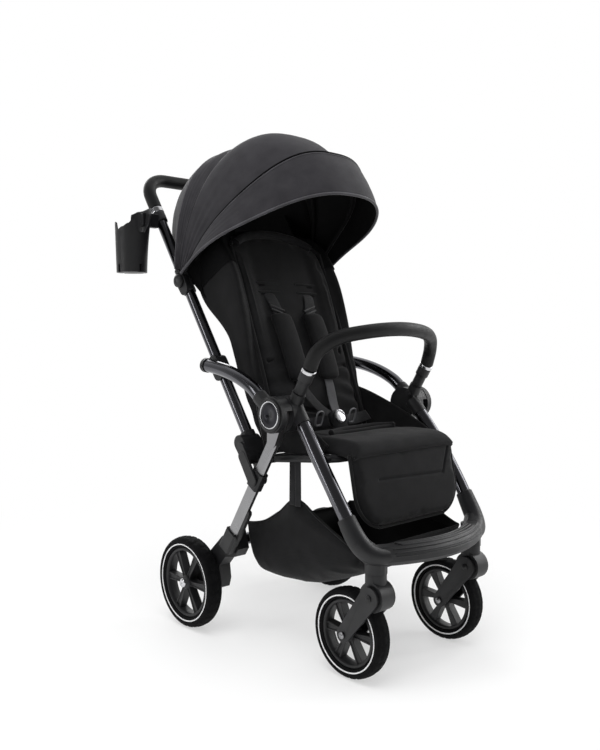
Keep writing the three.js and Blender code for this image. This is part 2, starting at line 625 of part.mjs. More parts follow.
// ---------------------------------------------------------------- cup holder on the right bar
function makeCupHolder() {
  const { x, y, bottom, top, radius, wall } = CUP;
  const inside = rod(v3(x, y, bottom + wall), v3(x, y, top + 5), radius - 2 - wall, 20, radius - wall);
  const cup = cut(rod(v3(x, y, bottom), v3(x, y, top), radius - 2, 20, radius),
    box(x - 12, x + 12, y - 60, y + 60, bottom - 5, bottom + 24),
    box(x - 60, x + 60, y - 9, y + 9, bottom - 5, bottom + 24),
    box(x + 10, x + 60, y - 34, y + 60, top - 30, top + 10));
  const clipAt = GRIP_AT - 26;
  const clip = alongBar(clipAt - 12, clipAt + 12, BAR_R + 3.5);
  const [clipY, clipZ] = onBar(clipAt);
  const bracket = box(BAR_X + 11, x - radius + 6, clipY - 16, clipY + 4, clipZ - 26, clipZ + 10);
  add('cup_holder', mirrored(cut(join(cup, clip, bracket), inside,
    alongBar(clipAt - 40, clipAt + 40, BAR_R + GAP))), plastic);
}

// ---------------------------------------------------------------- canopy
// A point of a hoop: t runs from 0 at the left pivot over the top to 1 at the right one.
function onHoop({ angle, radius, half, power }, t) {
  const turn = Math.PI * t;
  const across = half * Math.sign(Math.cos(turn)) * Math.abs(Math.cos(turn)) ** (2 / power);
  const out = radius * Math.abs(Math.sin(turn)) ** (2 / power);
  return v3(across, pivot[0] - out * Math.sin(rad(angle)), pivot[1] + out * Math.cos(rad(angle)));
}

// The hoop a share of the way from one hoop to the next.
function between(from, to, share) {
  const mix = (key) => THREE.MathUtils.lerp(from[key], to[key], share);
  return { angle: mix('angle'), radius: mix('radius'), half: mix('half'), power: mix('power') };
}

// A point of a hoop again, with u from 0 to 1 between the two places where its fabric ends.
function onCloth(hoop, u, foot = HOOP_FOOT) {
  const start = Math.asin((foot / hoop.radius) ** (hoop.power / 2)) / Math.PI;
  return onHoop(hoop, start + u * (1 - 2 * start));
}

function bow(hoop) {
  const points = Array.from({ length: 15 }, (_, i) => onCloth(hoop, i / 14));
  return bent(points, BOW_R, 26, 6);
}

function makeCanopy() {
  // the panels' edges stay this far apart at each seam, all the way to the pivot
  const seam = 3.6;
  const apart = (point, share) => {
    const [dy, dz] = [point.y - pivot[0], point.z - pivot[1]];
    const turn = ((1 - 2 * share) * seam) / 2 / Math.hypot(dy, dz);
    return v3(point.x, pivot[0] + dy - dz * turn, pivot[1] + dz + dy * turn);
  };
  const panel = (from, to, bulge) => (u, v) => {
    const hoop = between(from, to, v);
    hoop.radius += bulge * Math.sin(Math.PI * v);
    return apart(onCloth(hoop, u), v);
  };
  // the rear panel runs on behind the rear hoop as a drape between the push bars
  const fan = panel(REAR_HOOP, MID_HOOP, 6);
  const rear = (u, v) => {
    if (v > 0.5) return fan(u, 2 * v - 1);
    const share = Math.max(0, 2 * v);
    const hoop = between(BACK_HOOP, REAR_HOOP, share);
    hoop.half = THREE.MathUtils.lerp(BACK_HOOP.half, REAR_HOOP.half, share ** 2);
    return apart(onCloth(hoop, u, THREE.MathUtils.lerp(DRAPE_FOOT, HOOP_FOOT, share)), 0);
  };
  add('canopy_rear', sheet(rear, CANOPY_STEPS, 8, CLOTH), canopyFabric);
  add('canopy_mid', sheet(panel(MID_HOOP, TOP_HOOP, 6), CANOPY_STEPS, 4, CLOTH), canopyFabric);
  add('canopy_front', sheet(panel(TOP_HOOP, RIM_HOOP, 4), CANOPY_STEPS, 4, CLOTH), canopyFabric);
  const inset = CLOTH + BOW_R + SLIDE;
  const inside = (hoop, lag, slim) => ({
    ...hoop, angle: hoop.angle + lag, radius: hoop.radius - inset, half: hoop.half - inset - slim,
  });
  add('bow_mid', bow(inside(MID_HOOP, 2, 1)), steel);
  add('bow_front', bow(inside(RIM_HOOP, -2.5, 3)), steel);
}

// ---------------------------------------------------------------- seat, backrest, leg rest
// A cushion with two rounded far corners; place(x, along, off) lays it in space.
function cushion(half, length, corner, thick, place) {
  const edge = 5;
  const layer = (shrink, off) => {
    const [h, l] = [half - shrink, length - shrink];
    const points = [[-h, shrink], [h, shrink]];
    for (const side of [1, -1]) {
      for (let k = 0; k <= 4; k++) {
        const turn = ((side > 0 ? k : 4 - k) / 4) * (Math.PI / 2);
        points.push([side * (h - corner + corner * Math.cos(turn)), l - corner + corner * Math.sin(turn)]);
      }
    }
    return points.map(([x, s]) => place(x, s, off));
  };
  return loft([layer(edge, 0), layer(0, edge), layer(0, thick - edge), layer(edge, thick)]);
}

function makeSeat() {
  // seat cushion with the fabric sides that stand up from it, under the hubs
  const { front, back, bottom, top, half } = SEAT;
  const bed = cushion(half, back - front, 12, top - bottom, (x, s, off) => v3(x, back - s, bottom + off));
  const side = plate([[-120, bottom + 4], ...SEAT_SIDE_EDGE, [-6, bottom + 4]], SEAT_SIDE.inner, SEAT_SIDE.outer);
  const hem = box(half - 8, SEAT_SIDE.inner + 2, -118, -10, bottom + 5, top - 6);
  add('seat_pad', join(bed, side, hem, mirrored(side), mirrored(hem)), fabric);

  // seat frame: front tube, two rails and the tube the backrest turns on, bolted to the front legs
  const { y: frontY, z: frontZ } = RAIL_FRONT;
  const rail = [v3(0, frontY, frontZ), v3(RAIL_X - 40, frontY, frontZ), v3(RAIL_X - 12, frontY + 3, frontZ),
    v3(RAIL_X, frontY + 17, frontZ - 1), v3(RAIL_X, -78, 403), v3(RAIL_X, BACK_HINGE.y, BACK_HINGE.z)];
  const legs = new THREE.CatmullRomCurve3(FRONT_LEG.map((p) => v3(...p)), false, 'centripetal');
  const onFrontLeg = legs.getSpacedPoints(40).find((p) => p.z < frontZ);
  const boss = rod(v3(RAIL_X, onFrontLeg.y, frontZ - 2), v3(onFrontLeg.x - FRONT_LEG_R - GAP, onFrontLeg.y, frontZ - 2), 7, 10);
  const halfFrame = join(bent(rail, RAIL_R, 16, 8), boss);
  const hingeTube = cross(BACK_HINGE.y, BACK_HINGE.z, -RAIL_X - RAIL_R, RAIL_X + RAIL_R, RAIL_R + 1);
  add('seat_frame', join(halfFrame, mirrored(halfFrame), hingeTube), gunmetal);

  add('backrest', sheet(onBackrest, 12, 10, BACK.thick), fabric);

  const fall = rad(LEG_REST.lean);
  const { thick } = LEG_REST;
  add('leg_rest', cushion(LEG_REST.half, LEG_REST.length, LEG_REST.corner, thick, (x, s, off) => v3(x,
    LEG_REST.y - (s + 2) * Math.sin(fall) + (off - thick / 2) * Math.cos(fall),
    LEG_REST.z - (s + 2) * Math.cos(fall) - (off - thick / 2) * Math.sin(fall))), fabric);
}

// A place on the backrest: x across, s up from its hinge, off to the rear of its front face.
function backPlace(x, s, off) {
  const lean = rad(BACK_LEAN);
  return v3(x, BACK_HINGE.y + s * Math.sin(lean) + off * Math.cos(lean),
    BACK_HINGE.z + s * Math.cos(lean) - off * Math.sin(lean));
}

// The backrest's face: a hollowed middle between padded wings, which run back to the push bars.
function onBackrest(u, v) {
  const { length, half, wing, shallow, deep } = BACK;
  const s = THREE.MathUtils.lerp(RAIL_R + 1.3, length, v);
  const lift = THREE.MathUtils.clamp((s - 130) / 400, 0, 1);
  const forward = -wing * Math.sin(Math.PI * lift ** 1.5);
  const rise = THREE.MathUtils.clamp((s - 180) / 200, 0, 1);
  const fall = THREE.MathUtils.clamp((s - 400) / (length - 400), 0, 1);
  const rearward = THREE.MathUtils.lerp(shallow, deep, rise) - (deep - shallow) * fall;
  const narrow = 1 - 0.22 * THREE.MathUtils.clamp((s - length + 60) / 60, 0, 1) ** 2;
  const low = THREE.MathUtils.lerp(0.9, 1, THREE.MathUtils.clamp(s / 200, 0, 1));
  const section = [[1, rearward], [1, 0.5 * rearward], [0.985, forward], [0.83, 0.75 * forward], [0.66, 0.3 * forward],
    [0.5, 0], [0, 0]];
  const across = Math.min(u, 1 - u) * 12;
  const k = THREE.MathUtils.clamp(Math.floor(across), 0, 5);
  const [[x0, off0], [x1, off1]] = [section[k], section[k + 1]];
  const share = across - k;
  const x = (x0 + (x1 - x0) * share) * half * narrow * low * (u < 0.5 ? 1 : -1);
  return backPlace(x, s, off0 + (off1 - off0) * share);
}

function makeHarness() {
  const thick = 14;
  const buckle = v3(0, -6, 466);
  const strap = (side) => {
    const route = [[50, 372, 24, 0], [50, 330, 27, 0], [47, 180, 25, 0], [42, 165, 13, 4], [16, 74, 12, 28]];
    const loops = route.map(([out, s, half, ahead], i) => {
      const x = side * out;
      const depth = i > 2 ? 5 : thick;
      const off = -GAP - ahead;
      return [backPlace(x - half, s, off), backPlace(x + half, s, off),
        backPlace(x + half, s, off - depth), backPlace(x - half, s, off - depth)];
    });
    return loft(loops);
  };
  const yoke = box(-27, 27, buckle.y - 2, buckle.y + 26, buckle.z - 12, buckle.z + 16);
  const crotch = box(-13, 13, buckle.y - 14, buckle.y + 6, SEAT.top + GAP, buckle.z - 6);
  const facing = v3(0, -0.94, 0.34);
  const onAxis = (s) => buckle.clone().addScaledVector(facing, s);
  add('harness', cut(join(strap(1), strap(-1), yoke, crotch), rod(onAxis(-6), onAxis(40), 17 + GAP, 20)), fabric);
  const foot = 4;
  add('buckle', cut(rod(onAxis(-6 + GAP), onAxis(10), 17, 20),
    rod(onAxis(foot - PRESS - SLIDE), onAxis(12), 10, 16)), plastic);
  add('buckle_button', rod(onAxis(foot), onAxis(11), 10 - SLIDE, 16), plastic);
}

// ---------------------------------------------------------------- bumper bar
function makeBumper() {
  const grip = bent(bothSides(BUMPER_POINTS.map((p) => v3(...p))), BUMPER_R, 24);
  const [low, high] = BUMPER_POST.map((p) => at(BUMPER_X, p));
  const up = high.clone().sub(low).normalize();
  const post = rod(low.clone().addScaledVector(up, GAP), high.clone().addScaledVector(up, 6), BUMPER_POST_R);
  add('bumper', join(grip, post, mirrored(post)), leatherette);
  const { y, z, start } = BUMPER_BUTTON;
  addPair('bumper_button', cross(y, z, start - 4, start + 3, BUMPER_BUTTON.radius, 12), plastic);
}

// ---------------------------------------------------------------- basket
function makeBasket() {
  const { front, back, half, peak } = BASKET;
  const rim = [[front, 246], [-170, 268], [-110, 296], [peak - 12, 318], [peak + 12, 316], [-10, 282], [45, 248], [back, 238]];
  const floor = [206, 178, 163, 158, 156, 153, 151, 149];
  const loop = (inset, level) => {
    const side = (s) => rim.map(([y, top], i) => {
      const z = THREE.MathUtils.lerp(floor[i], top, level);
      const inwards = Math.min(Math.max(y, front + inset), back - inset);
      return v3(s * (half - inset), inwards, z);
    });
    return [...side(-1), ...side(1).reverse()];
  };
  const wall = 3;
  const bag = loft([loop(26, 0), loop(9, 0.02), loop(2, 0.3), loop(0, 1), loop(wall, 1), loop(wall + 2, 0.3),
    loop(wall + 10, 0.06), loop(wall + 26, 0.04)]);
  const railLow = 403 - RAIL_R;
  const strap = plate([[peak - 17, railLow - 0.9], [peak + 15, railLow - 4.4], [peak + 7, 345], [peak + 9, 300], [peak - 9, 300],
    [peak - 9, 345]], half - 2.5, half - 0.5);
  add('basket', join(bag, strap, mirrored(strap)), fabric);
}

makeWheels();
makeCasters();
makeHubs();
makeFootBar();
makeRearFrame();
makePushBars();
makeHandle();
makeCupHolder();
makeCanopy();
makeSeat();
makeHarness();
makeBumper();
makeBasket();

// The origin: the middle of the whole stroller's box, on the floor.
const bounds = new THREE.Box3().setFromObject(stroller);
const middle = bounds.getCenter(v3());
stroller.position.set(-middle.x, -middle.y, -bounds.min.z);

export default stroller;
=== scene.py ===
# %% [markdown]
# # A compact folding stroller
# The frame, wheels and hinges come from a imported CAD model, which stays where it is. This lesson dresses it:
# smooth tubes, moulded plastic with softened edges, sewn fabric, grips and tyres with their tread.
# Everything is in metres, with +Z up, the floor at zero and the stroller facing -Y.

# %% Load the fixed frame
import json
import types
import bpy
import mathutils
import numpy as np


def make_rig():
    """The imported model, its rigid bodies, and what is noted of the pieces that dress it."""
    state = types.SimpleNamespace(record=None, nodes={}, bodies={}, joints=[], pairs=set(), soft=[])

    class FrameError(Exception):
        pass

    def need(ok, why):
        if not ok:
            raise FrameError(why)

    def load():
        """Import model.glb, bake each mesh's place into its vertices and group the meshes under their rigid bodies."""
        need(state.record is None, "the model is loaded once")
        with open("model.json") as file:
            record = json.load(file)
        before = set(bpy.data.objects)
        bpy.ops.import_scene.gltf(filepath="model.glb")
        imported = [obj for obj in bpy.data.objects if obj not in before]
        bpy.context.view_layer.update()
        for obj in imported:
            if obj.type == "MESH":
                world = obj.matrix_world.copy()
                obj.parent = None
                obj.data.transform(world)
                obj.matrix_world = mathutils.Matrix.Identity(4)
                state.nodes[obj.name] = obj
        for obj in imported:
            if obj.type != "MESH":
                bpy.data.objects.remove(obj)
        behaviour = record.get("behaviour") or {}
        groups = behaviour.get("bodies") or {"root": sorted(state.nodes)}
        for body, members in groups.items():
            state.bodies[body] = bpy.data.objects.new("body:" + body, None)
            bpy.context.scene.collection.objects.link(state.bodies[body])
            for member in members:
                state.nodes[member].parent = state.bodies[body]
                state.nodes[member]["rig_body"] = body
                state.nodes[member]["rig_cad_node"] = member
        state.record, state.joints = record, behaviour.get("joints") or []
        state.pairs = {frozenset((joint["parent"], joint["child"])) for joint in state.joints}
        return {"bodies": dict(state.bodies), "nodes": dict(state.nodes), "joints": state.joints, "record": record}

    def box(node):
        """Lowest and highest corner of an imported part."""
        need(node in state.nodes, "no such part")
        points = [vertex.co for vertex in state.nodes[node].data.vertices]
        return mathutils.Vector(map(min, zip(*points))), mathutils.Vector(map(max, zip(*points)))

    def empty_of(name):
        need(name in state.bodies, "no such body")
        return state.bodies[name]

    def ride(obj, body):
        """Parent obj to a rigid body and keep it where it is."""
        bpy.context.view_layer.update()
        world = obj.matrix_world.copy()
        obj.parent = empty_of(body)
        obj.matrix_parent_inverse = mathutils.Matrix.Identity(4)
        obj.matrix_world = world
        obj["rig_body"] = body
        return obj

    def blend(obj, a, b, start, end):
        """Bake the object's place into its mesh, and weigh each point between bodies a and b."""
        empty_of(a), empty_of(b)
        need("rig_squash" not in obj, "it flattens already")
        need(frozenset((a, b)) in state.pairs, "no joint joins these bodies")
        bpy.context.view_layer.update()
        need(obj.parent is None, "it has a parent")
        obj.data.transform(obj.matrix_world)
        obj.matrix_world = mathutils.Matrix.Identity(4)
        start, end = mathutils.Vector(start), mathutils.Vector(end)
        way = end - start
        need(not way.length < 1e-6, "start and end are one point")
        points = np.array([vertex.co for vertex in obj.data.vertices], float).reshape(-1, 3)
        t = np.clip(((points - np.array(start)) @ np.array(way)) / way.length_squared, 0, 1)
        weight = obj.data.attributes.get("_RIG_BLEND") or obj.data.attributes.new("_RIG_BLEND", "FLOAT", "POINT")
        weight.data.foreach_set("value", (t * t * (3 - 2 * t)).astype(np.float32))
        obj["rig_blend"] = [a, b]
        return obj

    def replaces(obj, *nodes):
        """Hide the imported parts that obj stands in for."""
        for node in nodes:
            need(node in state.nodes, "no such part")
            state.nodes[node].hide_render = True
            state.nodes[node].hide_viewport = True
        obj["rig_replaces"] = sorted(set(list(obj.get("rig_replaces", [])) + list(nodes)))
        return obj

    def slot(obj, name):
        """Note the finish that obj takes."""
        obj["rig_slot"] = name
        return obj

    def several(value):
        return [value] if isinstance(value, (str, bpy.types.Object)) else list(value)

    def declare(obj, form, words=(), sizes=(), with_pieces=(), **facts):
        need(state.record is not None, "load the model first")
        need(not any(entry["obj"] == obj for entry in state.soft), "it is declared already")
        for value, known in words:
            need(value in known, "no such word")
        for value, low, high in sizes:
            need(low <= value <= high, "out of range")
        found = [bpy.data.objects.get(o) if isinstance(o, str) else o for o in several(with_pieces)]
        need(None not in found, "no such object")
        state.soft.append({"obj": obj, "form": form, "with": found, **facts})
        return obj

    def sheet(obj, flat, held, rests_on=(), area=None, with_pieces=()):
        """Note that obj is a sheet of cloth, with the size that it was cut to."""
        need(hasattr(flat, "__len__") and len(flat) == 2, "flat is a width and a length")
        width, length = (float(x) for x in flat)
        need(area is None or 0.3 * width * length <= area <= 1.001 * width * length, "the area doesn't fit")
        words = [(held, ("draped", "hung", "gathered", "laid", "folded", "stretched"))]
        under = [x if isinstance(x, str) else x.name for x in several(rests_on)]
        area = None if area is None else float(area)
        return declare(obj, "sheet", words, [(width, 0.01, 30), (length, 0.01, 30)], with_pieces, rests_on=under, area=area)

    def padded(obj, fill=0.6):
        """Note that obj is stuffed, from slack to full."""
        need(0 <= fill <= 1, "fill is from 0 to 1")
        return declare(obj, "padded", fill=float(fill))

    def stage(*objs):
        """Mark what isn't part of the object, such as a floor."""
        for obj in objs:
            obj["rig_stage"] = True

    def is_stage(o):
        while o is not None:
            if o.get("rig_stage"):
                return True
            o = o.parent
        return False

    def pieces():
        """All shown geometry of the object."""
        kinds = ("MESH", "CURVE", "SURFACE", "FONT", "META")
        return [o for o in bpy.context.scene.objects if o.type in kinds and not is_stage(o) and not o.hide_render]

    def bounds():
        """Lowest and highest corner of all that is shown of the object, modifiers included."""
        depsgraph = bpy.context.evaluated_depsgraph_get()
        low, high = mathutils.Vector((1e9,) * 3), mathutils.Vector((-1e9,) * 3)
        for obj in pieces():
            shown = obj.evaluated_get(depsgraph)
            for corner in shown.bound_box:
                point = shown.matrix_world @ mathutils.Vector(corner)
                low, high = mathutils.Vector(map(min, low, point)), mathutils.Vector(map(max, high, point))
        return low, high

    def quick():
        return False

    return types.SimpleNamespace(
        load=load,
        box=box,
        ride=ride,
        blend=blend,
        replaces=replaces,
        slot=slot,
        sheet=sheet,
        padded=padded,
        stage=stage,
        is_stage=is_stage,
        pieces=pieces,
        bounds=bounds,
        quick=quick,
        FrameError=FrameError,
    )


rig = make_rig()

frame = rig.load()

import json
import math

import bmesh
import bpy
from mathutils import Matrix, Vector, noise

cad_box = [list(corner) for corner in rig.bounds()]
joints = {joint["name"]: joint for joint in frame["joints"]}
body_of_node = {node: body for body, nodes in frame["record"]["behaviour"]["bodies"].items()
                for node in nodes}
print("CAD box", [[round(value, 3) for value in corner] for corner in cad_box])

# %% [markdown]
# The stroller is drawn in millimetres about its mid-plane. `at` turns such a place into the frame's metres,
# from where the fold's pin is, and `drawn` turns one back. `on_bar` gives places along the push bar, which
# leans back from its pivot on the rear leg. Left is +X, as the child sits.

# %% Places on the stroller
SIDES = (("left", 1), ("right", -1))
PIN_Y, PIN_Z = -55, 492
pin = Vector(joints["fold"]["pos_m"])
bar_foot = Vector(joints["push_bar_pivot"]["pos_m"])
bar_way = Vector(joints["bar_sleeve"]["axis"])
hood_pivot = Vector(joints["handle_fold"]["pos_m"])


def at(x, y, z):
    return Vector((pin.x + x / 1000, pin.y + (y - PIN_Y) / 1000, z / 1000))


def drawn(place):
    """The Y and Z of a place, in the drawing's millimetres."""
    return (place.y - pin.y) * 1000 + PIN_Y, place.z * 1000


def on_bar(x, s):
    return Vector((pin.x + x / 1000, bar_foot.y + bar_way.y * s / 1000, bar_foot.z + bar_way.z * s / 1000))


print("fold pin", [round(v, 3) for v in pin], "bar leans",
      round(math.degrees(math.atan2(bar_way.y, bar_way.z)), 1))

# %% [markdown]
# ## Finishes
# Colours are written as the sRGB hex values that a paint chart would give, and Blender's shaders need linear
# light, so one function converts them. One more function adds a node with its settings and its links.

# %% Colour and node helpers
def linear(hex_colour):
    channels = [int(hex_colour[i:i + 2], 16) / 255 for i in (1, 3, 5)]
    return [c / 12.92 if c <= 0.04045 else ((c + 0.055) / 1.055) ** 2.4 for c in channels] + [1.0]


def add_node(tree, kind, settings=None, links=None):
    made = tree.nodes.new(kind)
    for key, value in (settings or {}).items():
        if isinstance(key, str) and hasattr(made, key):
            setattr(made, key, value)
        else:
            made.inputs[key].default_value = value
    for socket, source in (links or {}).items():
        tree.links.new(source, made.inputs[socket])
    return made


print("black webbing in linear light:", [round(c, 4) for c in linear("#151516")[:3]])

# %% [markdown]
# No real surface has one even colour or gloss. `mottled` lets either wander between two values in soft
# patches of a real size, and `embossed` raises a pattern to a real depth. Every finish below starts from
# `new_finish`, which also notes the slot of the part's record that the finish belongs to.

# %% Patches, relief and new finishes
record_slot = {}


def mottled(tree, place, socket, size_mm, low, high, detail=3.0):
    patches = add_node(tree, "ShaderNodeTexNoise", {"Scale": 1000 / size_mm, "Detail": detail},
                       {"Vector": place})
    span = {"From Min": 0.3, "From Max": 0.7}
    if socket == "Roughness":
        span.update({"To Min": low, "To Max": high})
    share = add_node(tree, "ShaderNodeMapRange", span, {"Value": patches.outputs["Fac"]}).outputs[0]
    if socket == "Base Color":
        ends = {"data_type": "RGBA", 6: linear(low), 7: linear(high)}
        share = add_node(tree, "ShaderNodeMix", ends, {0: share}).outputs[2]
    tree.links.new(share, tree.nodes["Principled BSDF"].inputs[socket])


def embossed(tree, height, depth_mm, strength, under=None):
    links = {"Height": height}
    if under is not None:
        links["Normal"] = under.outputs["Normal"]
    bump = add_node(tree, "ShaderNodeBump", {"Strength": strength, "Distance": depth_mm / 1000}, links)
    tree.links.new(bump.outputs["Normal"], tree.nodes["Principled BSDF"].inputs["Normal"])
    return bump


def new_finish(name, slot, settings, colour, gloss=None):
    """A material; colour and gloss each give a patch size in millimetres and two ends."""
    material = bpy.data.materials.new(name)
    material.use_nodes = True
    tree = material.node_tree
    shader = tree.nodes["Principled BSDF"]
    for socket, value in settings.items():
        shader.inputs[socket].default_value = value
    place = add_node(tree, "ShaderNodeTexCoord").outputs["Object"]
    mottled(tree, place, "Base Color", *colour)
    if gloss:
        mottled(tree, place, "Roughness", *gloss)
    record_slot[name] = slot
    return material, tree, place


print("finish helpers ready")

# %% [markdown]
# The hubs, foot bar, casters, brackets and wheels are glass-filled nylon, injection moulded in a spark-eroded
# tool. That leaves a fine even grain and a satin, slightly uneven gloss. The real grain is about 0.2 mm; it
# is drawn at 0.9 mm, because anything finer is lost at this distance.

# %% Moulded nylon
GRAIN_MM = 0.9
nylon, tree, place = new_finish("glass_filled_nylon", "plastic",
                                {"Roughness": 0.42, "IOR": 1.53, "Specular IOR Level": 0.4},
                                (60, "#131314", "#18181a"), (25, 0.40, 0.54))
grain = add_node(tree, "ShaderNodeTexNoise", {"Scale": 1000 / GRAIN_MM, "Detail": 2.0}, {"Vector": place})
embossed(tree, grain.outputs["Fac"], 0.12, 0.5)
grey_plastic = new_finish("grey_acetal", "plastic", {"Roughness": 0.4, "IOR": 1.48},
                          (20, "#626264", "#6e6e71"))[0]
print("nylon grain drawn at", GRAIN_MM, "mm")

# %% [markdown]
# The tubes are aluminium, polished, anodised and dyed gunmetal, so the colour belongs to the metal: metallic
# is 1 and the grey is the colour of its reflections. The flat rear legs are the same metal left satin and
# undyed. The rings at the ends of the grips and round the hubs are chromed, and the wheel bolts are
# zinc-plated steel.

# %% Tubes and bright metal
METAL = {"Metallic": 1.0}
GUNMETAL = ("#5e5e62", "#69696d")
gunmetal = new_finish("gunmetal_anodised_aluminium", "aluminium_tube", METAL, (120, *GUNMETAL),
                      (150, 0.17, 0.21))[0]
satin = new_finish("satin_anodised_aluminium", "aluminium_tube", METAL, (90, "#929294", "#9a9a9b"),
                   (30, 0.26, 0.34))[0]
chrome = new_finish("chromed_brass", "gunmetal", METAL, (10, "#c8c8cb", "#d6d6d8"), (5, 0.10, 0.18))[0]
zinc = new_finish("zinc_plated_steel", "steel_bolt", METAL, (6, "#8f8f92", "#a9a9ab"), (3, 0.28, 0.42))[0]
print("gunmetal reflects", [round(linear(shade)[0], 3) for shade in GUNMETAL])

# %% [markdown]
# The discs in the hubs' outer faces are plain dark anodised aluminium, turned on a lathe, which leaves fine
# rings. A wave texture draws them: at scale 1 its bands lie 0.314 m apart, so the real spacing gives the
# scale.

# %% Turned discs
WAVE_M = 0.314
RING_M = 0.0014
turned_disc, tree, place = new_finish("turned_dark_aluminium", "gunmetal",
                                      {"Metallic": 1.0, "Roughness": 0.3}, (30, "#2a2a2d", "#3a3a3e"))
centred = add_node(tree, "ShaderNodeMapping", {"Location": -pin}, {"Vector": place})
ring_wave = {"wave_type": "RINGS", "rings_direction": "X", "Scale": WAVE_M / RING_M}
rings = add_node(tree, "ShaderNodeTexWave", ring_wave, {"Vector": centred.outputs[0]})
embossed(tree, rings.outputs["Fac"], 0.05, 0.5)
print("turning marks every", RING_M * 1000, "mm")

# %% [markdown]
# Seat, backrest, leg rest and basket are black polyester Oxford cloth: a plain weave of thick yarn. Its
# threads cross every 0.5 mm and are drawn every 1.3 mm. Two wave textures at right angles give the over and
# under of the weave, soft noise gives the slight mottling of the dye and the shallow creases, and the sheen
# is the fuzz that lightens its edges. The hood, its lining, the webbing and the piping are cloths of the same
# kind.

# %% Woven cloth
def woven(name, slot, dark, light, thread_mm, depth_mm, roughness, sheen, crumple_mm=45, crumple_depth=1.2):
    yarn = {"Roughness": roughness, "IOR": 1.45, "Specular IOR Level": 0.16, "Sheen Weight": sheen,
            "Sheen Roughness": 0.45}
    material, tree, place = new_finish(name, slot, yarn, (30, dark, light, 6.0))
    soft = add_node(tree, "ShaderNodeTexNoise", {"Scale": 1000 / crumple_mm, "Detail": 2.5},
                    {"Vector": place})
    creases = embossed(tree, soft.outputs["Fac"], crumple_depth, 0.6)
    warp, weft = [add_node(tree, "ShaderNodeTexWave",
                           {"bands_direction": way, "Scale": WAVE_M * 1000 / thread_mm},
                           {"Vector": place}).outputs["Fac"] for way in "XZ"]
    cross = add_node(tree, "ShaderNodeMath", {"operation": "MULTIPLY"}, {0: warp, 1: weft})
    embossed(tree, cross.outputs[0], depth_mm, 0.55, creases)
    return material


oxford = woven("polyester_oxford_cloth", "seat_fabric", "#121213", "#181819", 1.3, 0.25, 0.82, 0.08)
hood_cloth = woven("polyester_hood_cloth", "canopy_fabric", "#28272a", "#302f32", 1.1, 0.18, 0.78, 0.12)
# near-black matt cloth without sheen: the hood's and the basket's lining, and also painted shade in the strap slots,
# over the wing tops, in the hood's side gaps and in the tuck under the front panel
lining_and_shade_cloth = woven("polyester_lining_and_painted_shade", "canopy_fabric", "#070708", "#0a0a0b", 1.0, 0.12, 0.9, 0.0)
webbing = woven("polyamide_webbing", "seat_fabric", "#151516", "#1e1e20", 1.6, 0.4, 0.6, 0.1, 80, 0.4)
grey_webbing = woven("grey_polyamide_webbing", "seat_fabric", "#38383a", "#434346", 1.6, 0.4, 0.6, 0.2, 80,
                     0.4)
piping = woven("satin_piping", "canopy_fabric", "#38373a", "#454448", 1.5, 0.2, 0.5, 0.2, 30, 0.3)
print("six cloths, threads drawn at 1.0 to 1.6 mm")

# %% [markdown]
# The handle and the bumper bar are wrapped in polyurethane leather over foam. Its embossed grain is made of
# small cells about a millimetre across, drawn at 1.8 mm, with soft valleys, which a Voronoi texture gives.

# %% Polyurethane leather
CELL_MM = 1.8
leather, tree, place = new_finish("polyurethane_leather", "leatherette",
                                  {"IOR": 1.5, "Specular IOR Level": 0.24}, (40, "#101011", "#151515"),
                                  (12, 0.44, 0.56))
cells = add_node(tree, "ShaderNodeTexVoronoi", {"feature": "SMOOTH_F1", "Scale": 1000 / CELL_MM},
                 {"Vector": place})
embossed(tree, cells.outputs["Distance"], 0.25, 0.55)
print("leather cells", CELL_MM, "mm")

# %% [markdown]
# The tyres are puncture-proof foam rubber, dead matt and dusty in the tread. The thin ring on the side wall
# is a retroreflective strip, which looks pale grey to white in ordinary light.

# %% Rubber and reflective strip
PORE_MM = 1.2
rubber, tree, place = new_finish("foam_rubber", "tyre_rubber", {"IOR": 1.5, "Specular IOR Level": 0.1},
                                 (18, "#0b0b0c", "#111112", 6.0), (9, 0.70, 0.88))
pores = add_node(tree, "ShaderNodeTexNoise", {"Scale": 1000 / PORE_MM, "Detail": 3.0}, {"Vector": place})
embossed(tree, pores.outputs["Fac"], 0.2, 0.6)
reflective = new_finish("retroreflective_strip", "gunmetal", {"Roughness": 0.35},
                        (4, "#dededf", "#f2f2f3"))[0]
print("finishes:", len(record_slot))

# %% [markdown]
# ## Tools for making pieces
# `show` gives a mesh its finish, lets it ride on a CAD body and names the CAD solids that it stands for.
# `make_piece` does so for points and faces, and `skin` joins rings of points into a closed body, which gives
# tubes, rims and cushions: either capped at both ends or joined into a loop.

# %% Show, make and skin
def show(name, mesh, finish, body, nodes=()):
    mesh.polygons.foreach_set("use_smooth", [True] * len(mesh.polygons))
    mesh.materials.clear()
    mesh.materials.append(finish)
    obj = bpy.data.objects.new(name, mesh)
    bpy.context.collection.objects.link(obj)
    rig.slot(obj, record_slot[finish.name])
    if nodes:
        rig.replaces(obj, *nodes)
    if body is not None:
        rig.ride(obj, body)
    return obj


def faces_outward(mesh, joined_within=0.0):
    """Turns the faces outwards, after rejoining what a triangulated solid splits."""
    bm = bmesh.new()
    bm.from_mesh(mesh)
    if joined_within:
        bmesh.ops.remove_doubles(bm, verts=bm.verts, dist=joined_within)
        bmesh.ops.dissolve_limit(bm, angle_limit=math.radians(0.6), verts=bm.verts, edges=bm.edges)
    bmesh.ops.recalc_face_normals(bm, faces=bm.faces)
    bm.to_mesh(mesh)
    bm.free()
    return mesh


def make_piece(name, shape, finish, body, nodes=()):
    points, faces = shape
    mesh = bpy.data.meshes.new(name)
    mesh.from_pydata([tuple(p) for p in points], [], faces)
    return show(name, faces_outward(mesh), finish, body, nodes)


